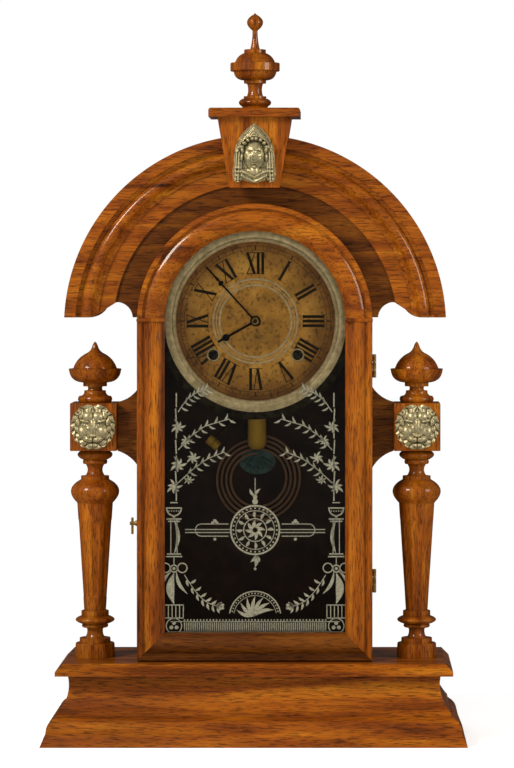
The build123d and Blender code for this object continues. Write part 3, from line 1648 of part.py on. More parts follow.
# Gong: a shell-shaped cast stand and one long wire wound into a flat spiral
gong_start = (0.0, gong_height + gong_first_radius)
with BuildPart() as gong_base:
    with BuildSketch(facing(board_face)):
        with Locations((0, gong_base_height)):
            Ellipse(gong_base_half_width, gong_base_half_height)
    extrude(amount=0.5 * gong_base_relief)
    for index in range(7):
        spread = index * 20 - 60
        place = polar((0, gong_base_height + 6.5), 9.0, -90 - spread)
        add(dome(place[0], board_face - 0.4 * gong_base_relief, place[1],
                 1.7, 0.6 * gong_base_relief, 5.8, spread))
    with BuildSketch(facing(board_face)):
        with Locations((gong_start[0] + 2.6, gong_start[1] - 0.6)):
            Rectangle(5.2, 4.2)
    extrude(amount=board_face - gong_y + 1.8)
    split(bisect_by=facing(board_face), keep=Keep.TOP)
finish(gong_base, "gong_base")

with BuildPart() as gong_coil:
    with BuildLine(Plane((0, gong_y, 0), x_dir=(1, 0, 0), z_dir=(0, -1, 0))) as wire:
        here = gong_start
        side = -1
        for half in range(gong_half_turns):
            radius = gong_first_radius + half * gong_growth
            drop = radius if half % 2 == 0 else -radius
            end = (here[0], here[1] - 2 * drop)
            ThreePointArc(here, (here[0] + side * radius, here[1] - drop), end)
            here = end
            side = -side
    with BuildSketch(Plane(wire.line @ 0, z_dir=wire.line % 0)):
        Circle(gong_wire)
    sweep(path=wire.line)
finish(gong_coil, "gong_coil")
print("gong wire least gap to itself", round(2 * gong_growth - 2 * gong_wire, 2))

# Hammer: arbor, lifting tail between the plates, wire arm behind them and a cylinder head
hammer_middle = on_dial(hammer_place)
head_middle = (hammer_head_x, hammer_head_height)
arm_angle = bearing(hammer_middle, head_middle)
tail_end = polar(on_dial(pin_place), lifting_pin_circle + 1.3, bearing(pin_place, hammer_place))
with BuildPart() as hammer:
    add(rod(hammer_place, arbor_radius, plate_front + plate_thickness + end_shake, gong_y + 1.2))
    add(rod(hammer_place, pivot_radius, plate_front + end_shake, movement_back))
    tail_length = hypot(tail_end[0] - hammer_middle[0], tail_end[1] - hammer_middle[1])
    tail_angle = bearing(hammer_middle, tail_end)
    with BuildSketch(facing(28.0)):
        with Locations(Location((*hammer_middle, 0), (0, 0, tail_angle))):
            Circle(2.6)
            with Locations((tail_length / 2, 0)):
                Rectangle(tail_length, 2.4)
    extrude(amount=1.2)
    arm_length = hypot(head_middle[0] - hammer_middle[0], head_middle[1] - hammer_middle[1])
    arm_start = Vector(hammer_middle[0], gong_y, hammer_middle[1])
    arm_end = Vector(head_middle[0], gong_y, head_middle[1])
    with BuildSketch(Plane(arm_start, z_dir=arm_end - arm_start)):
        Circle(0.9)
    extrude(amount=arm_length)
    head_way = Vector(sin(radians(arm_angle)), 0, -cos(radians(arm_angle)))
    with BuildSketch(Plane(arm_end - head_way * (hammer_head_length / 2), z_dir=head_way)):
        Circle(hammer_head_radius)
    extrude(amount=hammer_head_length)
finish(hammer, "hammer")
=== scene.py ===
from math import pi, radians, tau

import bmesh
import bpy
import numpy as np
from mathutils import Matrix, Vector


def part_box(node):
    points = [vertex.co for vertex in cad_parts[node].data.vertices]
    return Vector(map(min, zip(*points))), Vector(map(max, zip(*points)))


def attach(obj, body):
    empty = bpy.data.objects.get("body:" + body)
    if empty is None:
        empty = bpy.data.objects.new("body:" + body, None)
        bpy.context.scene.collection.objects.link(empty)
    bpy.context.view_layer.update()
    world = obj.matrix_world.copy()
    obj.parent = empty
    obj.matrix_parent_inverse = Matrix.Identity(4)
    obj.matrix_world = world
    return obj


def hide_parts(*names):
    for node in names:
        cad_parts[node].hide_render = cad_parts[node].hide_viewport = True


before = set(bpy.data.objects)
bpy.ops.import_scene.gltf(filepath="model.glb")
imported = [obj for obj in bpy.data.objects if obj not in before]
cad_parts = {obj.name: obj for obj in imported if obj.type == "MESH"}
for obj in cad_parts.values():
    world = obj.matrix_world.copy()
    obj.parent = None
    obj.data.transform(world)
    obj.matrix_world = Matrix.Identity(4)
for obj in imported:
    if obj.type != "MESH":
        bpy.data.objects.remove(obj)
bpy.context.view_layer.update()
MM = 0.001

# Base moulding: three lengths of varnished hardwood, planed to one ogee section, mitred at the front
# corners and glued under the base board. The section is redrawn here with its curves smooth.


def linear(hex_colour):
    """An sRGB hex colour as linear RGBA: each channel above 0.04045 goes through the 2.4 power curve."""
    channels = np.array([int(hex_colour[i:i + 2], 16) / 255 for i in (1, 3, 5)])
    light = np.where(channels > 0.04045, ((channels + 0.055) / 1.055) ** 2.4, channels / 12.92)
    return (*light.tolist(), 1.0)


def add_node(tree, kind, inputs=None, stops=(), **settings):
    """Add a node with its settings. Each input is a value or another node's output to link, and stops
    are a colour ramp's pairs of position and hex colour."""
    made = tree.nodes.new(kind)
    for key, value in settings.items():
        setattr(made, key, value)
    for socket, value in (inputs or {}).items():
        if isinstance(value, bpy.types.NodeSocket):
            tree.links.new(value, made.inputs[socket])
        else:
            made.inputs[socket].default_value = value
    while stops and len(made.color_ramp.elements) < len(stops):
        made.color_ramp.elements.new(0.5)
    for index, (position, colour) in enumerate(stops):
        made.color_ramp.elements[index].position = position
        made.color_ramp.elements[index].color = linear(colour)
    return made


def new_material(name):
    """A new material with an empty node tree, and that tree."""
    material = bpy.data.materials.new(name)
    material.use_nodes = True
    material.node_tree.nodes.clear()
    return material, material.node_tree


def varnished_wood(name, along, tone=("#3c1a02", "#703503", "#8b4a06", "#ab6a13")):
    """Varnished red hardwood. Grain streaks up to 14 mm wide run along one axis, drawn out twelve
    times, with open pores up to 0.9 mm wide as dark dashes, coarser than real ones so that they show.
    A glossy film gives sharp highlights."""
    material, tree = new_material(name)
    streak, pore, length = 1 / (14 * MM), 1 / (0.9 * MM), 0.08
    place = add_node(tree, "ShaderNodeTexCoord").outputs["Object"]

    def stretched(scale):
        ways = [scale, scale, scale]
        ways[along] = scale * length
        return add_node(tree, "ShaderNodeMapping", {"Vector": place, "Scale": ways}).outputs[0]

    figure = add_node(tree, "ShaderNodeTexNoise", {
        "Vector": stretched(streak), "Scale": 1.0, "Detail": 5.0, "Roughness": 0.62, "Distortion": 0.5})
    pores = add_node(tree, "ShaderNodeTexNoise", {
        "Vector": stretched(pore), "Scale": 1.0, "Detail": 2.0, "Roughness": 0.6})
    cloud = add_node(tree, "ShaderNodeTexNoise", {"Vector": place, "Scale": 7.0, "Detail": 2.0})
    colour = add_node(tree, "ShaderNodeValToRGB", {"Fac": figure.outputs[0]},
                      list(zip((0.28, 0.42, 0.56, 0.74), tone)))
    open_pores = add_node(tree, "ShaderNodeValToRGB", {"Fac": pores.outputs[0]},
                          [(0.38, "#2c2420"), (0.49, "#ffffff")])
    clouds = add_node(tree, "ShaderNodeValToRGB", {"Fac": cloud.outputs[0]},
                      [(0.3, "#b5b5b5"), (0.7, "#ffffff")])
    grained = add_node(tree, "ShaderNodeMix", {0: 0.62, 6: colour.outputs[0], 7: open_pores.outputs[0]},
                       data_type="RGBA", blend_type="MULTIPLY")
    toned = add_node(tree, "ShaderNodeMix", {0: 0.6, 6: grained.outputs[2], 7: clouds.outputs[0]},
                     data_type="RGBA", blend_type="MULTIPLY")
    bump = add_node(tree, "ShaderNodeBump", {
        "Height": pores.outputs[0], "Strength": 0.12, "Distance": 0.2 * MM})
    shader = add_node(tree, "ShaderNodeBsdfPrincipled", {
        "Base Color": toned.outputs[2], "Roughness": 0.5, "IOR": 1.4, "Normal": bump.outputs[0],
        "Specular IOR Level": 0.15, "Coat Weight": 0.4, "Coat Roughness": 0.07, "Coat IOR": 1.45})
    add_node(tree, "ShaderNodeOutputMaterial", {"Surface": shader.outputs[0]})
    return material


wood_level = varnished_wood("varnished_hardwood_level_grain", 0)
wood_upright = varnished_wood("varnished_hardwood_upright_grain", 2)
wood_deep = varnished_wood("varnished_hardwood_end_runs", 1)
# A darker tone of the same wood: painted shade for the pediment board, the brackets and the door rail.
wood_darkened_as_recess_shade = varnished_wood("hardwood_painted_darker_as_recess_shade", 0, ("#241003", "#4c2503", "#643504", "#80500e"))


def dress(name, material):
    """Give a CAD node a finish."""
    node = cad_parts[name]
    node.data.materials.clear()
    node.data.materials.append(material)


def grid_faces(rows, columns, wrap_rows, wrap_columns, first):
    """The quads of a grid of points, whose index is first + row * columns + column."""
    row = np.arange(rows if wrap_rows else rows - 1)
    column = np.arange(columns if wrap_columns else columns - 1)
    low, left = np.meshgrid(row, column, indexing="ij")
    high, right = (low + 1) % rows, (left + 1) % columns
    corners = [low * columns + left, low * columns + right, high * columns + right, high * columns + left]
    return first + np.stack(corners, axis=-1).reshape(-1, 4)


def piece(name, grids, material, body, replaces=(), wrap=(False, True), caps=True, sharp=32):
    """One object from grids of points (rows, columns, 3), in metres. A grid's columns close into a
    ring and its first and last rows are capped, unless wrap says that the rows close as well."""
    vertices, faces, first = [], [], 0
    for grid in grids:
        rows, columns = grid.shape[:2]
        vertices.append(grid.reshape(-1, 3))
        faces += grid_faces(rows, columns, *wrap, first).tolist()
        if caps and not wrap[0]:
            faces.append(list(range(first, first + columns))[::-1])
            faces.append(list(range(first + (rows - 1) * columns, first + rows * columns)))
        first += rows * columns
    mesh = bpy.data.meshes.new(name)
    mesh.from_pydata(np.concatenate(vertices).tolist(), [], faces)
    work = bmesh.new()
    work.from_mesh(mesh)
    bmesh.ops.remove_doubles(work, verts=work.verts, dist=1e-7)
    bmesh.ops.dissolve_degenerate(work, edges=work.edges, dist=1e-7)
    bmesh.ops.recalc_face_normals(work, faces=work.faces)
    work.to_mesh(mesh)
    work.free()
    mesh.polygons.foreach_set("use_smooth", [True] * len(mesh.polygons))
    mesh.set_sharp_from_angle(angle=radians(sharp))
    mesh.materials.append(material)
    made = bpy.data.objects.new(name, mesh)
    bpy.context.scene.collection.objects.link(made)
    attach(made, body)
    if replaces:
        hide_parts(*replaces)
    return made


def arc(x0, y0, x1, y1, bulge, count=10):
    """Points from one end to the other on a parabola that stands off the chord by bulge, to the
    left of the way it runs."""
    t = np.linspace(0, 1, count)
    dx, dy = x1 - x0, y1 - y0
    chord = np.hypot(dx, dy)
    rise = 4 * bulge * t * (1 - t)
    return np.stack([x0 + dx * t - dy / chord * rise, y0 + dy * t + dx / chord * rise], axis=1)


base_low, base_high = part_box("base_moulding_front")
base_half, base_front = base_high[0] / MM, base_low[1] / MM
base_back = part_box("base_moulding_right")[1][1] / MM
cove_top = base_high[2] / MM
base_section = np.concatenate([
    [(0.0, 0.0), (0.4, 0.9)], [(3.7, 9.2), (4.4, 10.0)],
    arc(4.8, 13.2, 11.8, 23.6, 1.7), [(11.8, 24.0), (13.2, 24.0), (13.2, 26.5)],
    arc(13.2, 26.9, 22.0, cove_top, -4.4, 14), [(33.5, cove_top), (33.5, 0.0)],
])


def side_rail(sign):
    """A base side: the section's inset moves each line in from the end and back from the mitre."""
    inset, height = base_section.T
    x = sign * (base_half - inset)
    rows = [np.stack([x, base_front + inset, height], 1), np.stack([x, base_back + 0 * x, height], 1)]
    return np.array(rows) * MM


inset, height = base_section.T
front_rail = np.array([
    np.stack([side * (base_half - inset), base_front + inset, height], 1) for side in (-1, 1)]) * MM
piece("base_front_ogee", [front_rail], wood_level, "case", ["base_moulding_front"])
for side, sign in (("left", -1), ("right", 1)):
    piece(f"base_{side}_ogee", [side_rail(sign)], wood_deep, "case", [f"base_moulding_{side}"])

# Base board: one plank with a chamfered edge and level grain, as the keystone's cap is. The brackets and
# the pediment board are of the same wood, painted darker as the shade that falls in their recesses.
for name in ("base_cap_board", "keystone_cap"):
    dress(name, wood_level)
for name in ("pediment_board", "bracket_left", "bracket_right"):
    dress(name, wood_darkened_as_recess_shade)
dress("keystone", wood_upright)

# Case: two upright boards and a bent top, veneered in the same wood, with a rough dark back board.
# The bent top is redrawn as a smooth half round shell.
case_low, case_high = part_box("case_arch")
arch_z = case_low[2] / MM
case_half, case_wall = case_high[0] / MM, 9.0
shell_front, shell_back = -18.0, 60.0
turn = np.linspace(0, pi, 65)
ring = np.array([(case_half, shell_front), (case_half, shell_back),
                 (case_half - case_wall, shell_back), (case_half - case_wall, shell_front)])
shell = np.stack([
    np.cos(turn)[:, None] * ring[:, 0], np.ones(len(turn))[:, None] * ring[:, 1],
    arch_z + np.sin(turn)[:, None] * ring[:, 0]], axis=2) * MM
piece("case_bent_top", [shell], wood_deep, "case", ["case_arch"])
for name in ("case_side_left", "case_side_right"):
    dress(name, wood_upright)


def plain(name, colour, roughness, metallic=0.0, mottle=0.0, mottle_size=4.0, dark="#000000", **more):
    """A plain finish whose colour is clouded by a noise of a real size, towards a darker tone."""
    material, tree = new_material(name)
    inputs = {"Roughness": roughness, "Metallic": metallic, **more}
    if mottle:
        place = add_node(tree, "ShaderNodeTexCoord").outputs["Object"]
        noise = add_node(tree, "ShaderNodeTexNoise", {
            "Vector": place, "Scale": 1 / (mottle_size * MM), "Detail": 4.0, "Roughness": 0.6})
        clouded = add_node(tree, "ShaderNodeValToRGB", {"Fac": noise.outputs[0]},
                           [(0.5 - mottle, dark), (0.5 + mottle, colour)])
        inputs["Base Color"] = clouded.outputs[0]
    else:
        inputs["Base Color"] = linear(colour)
    shader = add_node(tree, "ShaderNodeBsdfPrincipled", inputs)
    add_node(tree, "ShaderNodeOutputMaterial", {"Surface": shader.outputs[0]})
    return material


# Softwood stained nearly black is rough and dull, so that the inside of the case stays dark.
stained_wood = plain("stained_softwood_back", "#2a1611", 0.7, mottle=0.2, mottle_size=12, dark="#120807")
dress("backboard", stained_wood)

# Columns: each is turned from one billet, with stopped flutes cut in its tapered shaft and a square
# block left at the top. They are varnished like the case.


def lathe(profile, axis_x, axis_y, sides=64, groove=None):
    """A turned form: radius and height pairs swept round an upright axis. A groove function of
    angle and height takes away from the radius."""
    angle = np.linspace(0, tau, sides, endpoint=False)
    radius, height = np.asarray(profile, float).T
    reach = radius[:, None] * np.ones(sides)
    if groove:
        reach = reach - groove(angle[None, :], height[:, None])
    points = np.stack([
        axis_x + reach * np.cos(angle), axis_y + reach * np.sin(angle),
        height[:, None] * np.ones(sides)], axis=2)
    return points * MM


board_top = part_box("base_cap_board")[1][2] / MM
block_half = 20.0
block_low_z, block_high_z = board_top + 178.6, board_top + 219.6
column_profile = np.concatenate([
    [(0.0, 0.0), (17.2, 0.0), (17.4, 0.6)], [(16.7, 11.6), (16.2, 12.2)],
    [(13.2, 12.3), (13.3, 14.0), (13.2, 16.5)],
    arc(8.6, 16.6, 7.2, 25.3, 1.1, 8), [(10.4, 25.5)], arc(10.6, 25.6, 10.6, 28.4, -0.8, 6),
    arc(11.6, 28.7, 11.6, 35.6, -5.2, 14), [(11.8, 36.0), (11.8, 39.8), (10.4, 40.3)],
    np.stack([np.linspace(9.4, 15.3, 70), np.linspace(40.6, 132.6, 70)], 1),
    arc(15.6, 133.2, 12.8, 152.8, -6.6, 20), [(12.1, 153.2), (12.1, 156.2)],
    arc(8.2, 156.6, 8.0, 166.2, 1.7, 10), [(9.9, 166.5)], arc(10.0, 166.6, 10.0, 170.1, -0.6, 6),
    arc(11.2, 170.5, 11.2, 178.5, -3.9, 12), [(0.0, 178.6)],
])
flute_low, flute_high, flute_count, flute_depth = 51.5, 118.0, 8, 1.5


def flutes(angle, height):
    """Stopped flutes: a round-bottomed groove eight times round, fading out at both ends as a
    spoon bit leaves it."""
    phase = (np.mod(flute_count * (angle + radians(15.5)) / tau, 1.0) - 0.5) * 2
    across = np.clip(1 - (phase / 0.62) ** 2, 0, 1)
    over = height - board_top
    ends = np.clip((over - flute_low) / 3.5, 0, 1) * np.clip((flute_high - over) / 3.5, 0, 1)
    return flute_depth * np.sqrt(across * ends)


def rounded_box(low, high, soft):
    """A box with its upright corners rounded and its top and bottom edges eased, as one ring
    carried up through six heights."""
    low, high = np.array(low), np.array(high)
    centre, half = (low + high) / 2, (high - low) / 2
    angle = np.linspace(0, tau, 32, endpoint=False) + tau / 64
    way = np.stack([np.cos(angle), np.sin(angle)], 1)
    rows = []
    for height, draw in ((low[2], soft), (low[2] + soft * 0.3, soft * 0.3), (low[2] + soft, 0),
                         (high[2] - soft, 0), (high[2] - soft * 0.3, soft * 0.3), (high[2], soft)):
        flat = half[:2] - soft
        ring = centre[:2] + np.sign(way) * flat + way * (soft - draw)
        rows.append(np.column_stack([ring, np.full(32, height)]))
    return np.array(rows) * MM


for side, sign in (("left", -1), ("right", 1)):
    low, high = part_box(f"column_{side}")
    column_x, column_y = (low[0] + high[0]) / 2 / MM, (low[1] + high[1]) / 2 / MM
    shaft = column_profile + (0, board_top)
    block = rounded_box(
        (column_x - block_half, column_y - block_half, block_low_z),
        (column_x + block_half, column_y + block_half, block_high_z), 0.7)
    piece(f"column_{side}_turned", [lathe(shaft, column_x, column_y, 192, flutes), block],
          wood_upright, "case", [f"column_{side}"])

# Column finials: small turned urns with an ogee lid and a point, of the columns' wood. Each stands on a
# dowel glued into its block.
finial_profile = np.concatenate([
    [(0.0, 0.0), (13.4, 0.0)], arc(13.6, 0.2, 13.6, 5.5, -1.2, 8), arc(11.6, 5.8, 9.4, 10.2, 0.9, 8),
    [(6.6, 10.5)], arc(6.5, 10.6, 6.5, 13.7, 0.4, 6), [(10.2, 13.9), (10.3, 15.3), (10.2, 16.7)],
    arc(10.9, 17.2, 22.5, 28.2, -3.4, 16), [(22.8, 28.7), (22.4, 29.1), (18.7, 29.4)],
    arc(18.7, 29.8, 9.0, 41.6, -1.4, 14), arc(8.8, 41.8, 2.2, 49.4, 1.4, 10), [(1.2, 51.3), (0.0, 52.5)],
])
for side in ("left", "right"):
    low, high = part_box(f"column_finial_{side}")
    finial_x, finial_y = (low[0] + high[0]) / 2 / MM, (low[1] + high[1]) / 2 / MM
    piece(f"column_finial_{side}_turned",
          [lathe(finial_profile + (0, block_high_z), finial_x, finial_y, 72)],
          wood_upright, "case", [f"column_finial_{side}"])

# Lion masks: thin cast brass pinned to the blocks, tarnished olive in the hollows and rubbed bright on
# the nose, brow and curls.


def cast_brass(name, bright, dull, size):
    """Tarnished cast brass. Hollows keep an olive film and ridges are rubbed, which the surface's
    pointedness gives, broken by a noise of a size in millimetres. It is coarser than the grain of the
    casting sand, so that it shows."""
    material, tree = new_material(name)
    place = add_node(tree, "ShaderNodeTexCoord").outputs["Object"]
    shape = add_node(tree, "ShaderNodeNewGeometry").outputs["Pointiness"]
    noise = add_node(tree, "ShaderNodeTexNoise", {"Vector": place, "Scale": 1 / (size * MM), "Detail": 4.0})
    wear = add_node(tree, "ShaderNodeMath", {0: shape, 1: 6.0, 2: -2.75}, operation="MULTIPLY_ADD")
    mixed = add_node(tree, "ShaderNodeMath", {0: wear.outputs[0], 1: noise.outputs[0]}, operation="ADD")
    colour = add_node(tree, "ShaderNodeValToRGB", {"Fac": mixed.outputs[0]}, [(0.45, dull), (1.05, bright)])
    shader = add_node(tree, "ShaderNodeBsdfPrincipled", {
        "Base Color": colour.outputs[0], "Metallic": 0.55, "Roughness": 0.38})
    add_node(tree, "ShaderNodeOutputMaterial", {"Surface": shader.outputs[0]})
    return material


mask_brass = cast_brass("tarnished_cast_brass", "#bdb28a", "#40391f", 1.2)


def bumps(x, z, shapes, soft=0.5):
    """The soft maximum of domes. Each dome is centre x, centre z, half width, half height, rise and
    tilt in degrees; its height falls as the root of one minus the squared distance."""
    total = np.zeros_like(x)
    for cx, cz, half_width, half_height, rise, tilt in shapes:
        c, s = np.cos(radians(tilt)), np.sin(radians(tilt))
        u, v = (x - cx) * c + (z - cz) * s, -(x - cx) * s + (z - cz) * c
        inside = np.clip(1 - (u / half_width) ** 2 - (v / half_height) ** 2, 0, None)
        total = total + np.exp(rise * np.sqrt(inside) / soft) - 1
    return soft * np.log1p(total)


def both(shapes):
    """Each dome and its mirror image."""
    return shapes + [(-cx, cz, a, b, rise, -tilt) for cx, cz, a, b, rise, tilt in shapes]


def edge_reach(angle, corners):
    """How far an outline lies from its middle at each angle from upright: straight between corners
    given as x, z on the right, and the same on the left."""
    x, z = np.asarray(corners, float).T
    return np.interp(np.abs((angle + pi) % tau - pi), np.arctan2(x, z), np.hypot(x, z))


lion_proud = 8.8


def lion_height(x, z):
    """A lion's face: a domed face with furrowed brow, broad nose and muzzle, in two layers of mane
    locks that curl as they run out."""
    r, angle = np.hypot(x / 13.2, (z + 1) / 15.4), np.abs(np.arctan2(x, z + 1))
    inner = (np.abs(np.sin(7 * angle + 2.6 * r)) ** 0.6 * np.clip((r - 0.84) / 0.12, 0, 1)
             * np.clip((1.3 - r) / 0.16, 0, 1))
    outer = np.abs(np.sin(8 * angle - 3.6 * r + 0.7)) ** 0.6 * np.clip((r - 1.08) / 0.12, 0, 1)
    mane = np.maximum(3.4 * np.clip(1.7 - r, 0, 1) + 2.6 * inner, 1.2 + 2.8 * outer)
    face = bumps(x, z, both([
        (4.0, 8.6, 6.4, 6.0, 7.3, 0), (7.0, 5.2, 5.2, 2.0, 7.6, 14),
        (3.9, -10.2, 5.6, 4.2, 8.3, 12), (8.4, -4.0, 5.6, 7.4, 6.8, 8), (12.6, 12.6, 3.4, 3.8, 6.6, -35),
    ]) + [
        (0, -0.5, 13.4, 16.6, 6.2, 0), (0, 0.6, 4.4, 11.0, 7.9, 0), (0, -7.0, 4.6, 2.6, 8.8, 0),
        (0, -15.4, 5.4, 3.2, 7.0, 0),
    ])
    hollows = sum(
        3.0 * np.exp(-((x - s * 6.8) / 3.0) ** 2 - ((z - 2.2) / 1.8) ** 2)
        - 1.6 * np.exp(-((x - s * 6.9) / 1.5) ** 2 - ((z - 2.0) / 0.9) ** 2)
        + 2.4 * np.exp(-((x - s * 12.8) / 1.4) ** 2 - ((z - 12.4) / 1.8) ** 2)
        + 1.2 * np.exp(-((x - s * 2.6) / 0.9) ** 2 - ((z + 8.4) / 0.7) ** 2) for s in (-1, 1))
    mouth = 2.0 * np.exp(-((x / 6.8) ** 6)) * np.exp(-(((z + 13.6 - 0.03 * x ** 2) / 0.8) ** 2))
    furrow = (1.1 * np.exp(-((x / 0.8) ** 2)) * np.clip((z - 5) / 3, 0, 1)
              + 0.9 * np.exp(-((x / 0.5) ** 2)) * np.clip(-9 - z, 0, 1))
    return np.clip(np.maximum(mane, face - hollows - mouth - furrow), 0, lion_proud)


def relief(name, node, x0, z0, front, outline, height, material, rings=100, spokes=260):
    """A cast relief: rings of points run from the middle out to an outline, each lifted off its
    seat by the height function, with an upright edge and a flat back."""
    share = np.linspace(0, 1, rings) ** 0.8
    angle = np.linspace(0, tau, spokes, endpoint=False)
    reach = outline(angle)
    x = share[:, None] * reach * np.sin(angle)
    z = share[:, None] * reach * np.cos(angle)
    rise = np.maximum(height(x, z), 0.5)
    y = front - rise
    rows = np.stack([x0 + x, y, z0 + z], axis=2)
    seat = rows[-1:].copy()
    seat[:, :, 1] = front
    back = seat.copy()
    back[:, :, 0], back[:, :, 2] = x0, z0
    return piece(name, [np.concatenate([rows, seat, back]) * MM], material, "case", [node],
                 sharp=60)


def lion_outline(angle):
    """A rounded square edge broken by mane locks."""
    corners = [(0, 17.8), (7, 18.4), (13.2, 14.0), (17.6, 7), (18.3, 0), (17.0, -7), (12.4, -14.0),
               (7.0, -17.6), (0, -18.6)]
    return edge_reach(angle, corners) + 0.8 * np.abs(np.sin(8 * angle)) - 0.2


for side in ("left", "right"):
    low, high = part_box(f"lion_mask_{side}")
    relief(f"lion_mask_{side}_cast", f"lion_mask_{side}", (low[0] + high[0]) / 2 / MM,
           (low[2] + high[2]) / 2 / MM, high[1] / MM, lion_outline, lion_height, mask_brass)

# Pediment moulding: a half ring turned on a faceplate and sawn in half, glued over the board. Its foot is
# sawn level, with a scrolled notch in each end, so every line of the section stops at its own angle.
ring_z = 354.3
foot_z, face_y, lip_y = 361.6, -24.0, -2.0
ring_section = np.concatenate([
    [(121.7, -14.0), (121.7, -15.8), (122.0, -16.0), (134.6, -16.0), (134.8, -17.2)],
    arc(134.9, -17.4, 141.2, -22.4, 1.1, 8), arc(141.4, -22.5, 149.4, -21.6, -2.0, 10),
    [(149.9, -20.6), (150.3, -19.8), (153.6, -19.8), (153.8, -20.0), (153.8, -23.7), (154.1, face_y),
     (163.3, face_y), (163.6, -23.7), (163.6, lip_y), (162.4, lip_y), (162.4, -14.0)],
])


def foot_height(x):
    """The height of the sawn foot above each half width: level, and raised in the scrolled notch."""
    notch = np.interp(x, [105.4, 107.0, 110.0, 114.0, 117.4, 121.0, 126.0, 131.0, 136.0, 141.3],
                      [0.0, 5.6, 9.6, 12.2, 13.0, 12.3, 10.0, 6.0, 1.8, 0.0])
    return foot_z + notch


def start_angle(radius):
    """The angle above level where a circle of this radius clears the foot for the last time."""
    angle = np.linspace(0.0, pi / 2, 3000)
    clear = ring_z + radius * np.sin(angle) >= foot_height(radius * np.cos(angle))
    return angle[len(clear) - np.argmin(clear[::-1])] if not clear.all() else 0.0


starts = np.array([start_angle(radius) for radius in ring_section[:, 0]])
span = np.linspace(0, 1, 129)
angles = starts[None, :] + span[:, None] * (pi - 2 * starts[None, :])
moulding = np.stack([
    ring_section[:, 0] * np.cos(angles), ring_section[:, 1] + 0 * angles,
    ring_z + ring_section[:, 0] * np.sin(angles)], axis=2) * MM
piece("pediment_half_ring", [moulding], wood_level, "case", ["pediment_moulding"])

# Crown finial: a ringed bowl with a lid and a long bud, turned in one piece from the columns' wood. Its
# dowel is glued into the square cap.
cap_low, cap_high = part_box("keystone_cap")
cap_top, cap_y = cap_high[2] / MM, (cap_low[1] + cap_high[1]) / 2 / MM
crown_profile = np.concatenate([
    [(0.0, 0.0), (10.6, 0.0), (11.0, 2.0)], arc(11.2, 2.3, 11.2, 8.6, -2.7, 10), [(9.7, 8.8), (9.7, 10.8)],
    arc(6.9, 11.0, 6.9, 21.8, 1.0, 10), [(9.4, 22.0), (9.5, 24.4)], arc(9.8, 24.7, 18.4, 32.2, -2.4, 10),
    [(20.7, 32.4), (21.1, 32.8), (21.1, 39.0), (20.7, 39.4), (17.6, 39.6)],
    arc(17.1, 39.9, 9.3, 47.9, -1.4, 12),
    [(9.3, 48.1), (9.3, 50.6), (8.9, 50.9), (4.2, 51.3)], arc(4.0, 51.6, 2.2, 67.0, 0.5, 12),
    arc(2.4, 67.3, 1.2, 81.0, -5.1, 16), [(0.0, 82.4)],
])
piece("crown_finial_turned", [lathe(crown_profile + (0, cap_top), 0, cap_y, 72)],
      wood_upright, "case", ["crown_finial"])

# Crown mask: a cast brass head of a woman under a pointed diadem, with waved hair, hanging lappets and
# a collar. The face is a plain classical one, laid out by the drawing-book rule of halves and thirds.
face_half, face_tall, face_middle, mask_proud = 8.6, 11.6, -1.6, 10.8
third = face_tall * 2 / 3
brow_line = face_middle + face_tall - third
nose_line, mouth_line = brow_line - third, brow_line - third * 4 / 3
eye_line = brow_line - 1.7


def mask_outline(angle):
    """A pointed hood above, straight lappets down both sides and a draped collar below."""
    return edge_reach(angle, [
        (0, 25.4), (3.5, 22.6), (9.5, 17.0), (14.0, 9.6), (16.6, 0), (17.0, -9), (17.2, -23.6), (12.4, -25.0),
        (10.4, -21.8), (0, -25.2)])


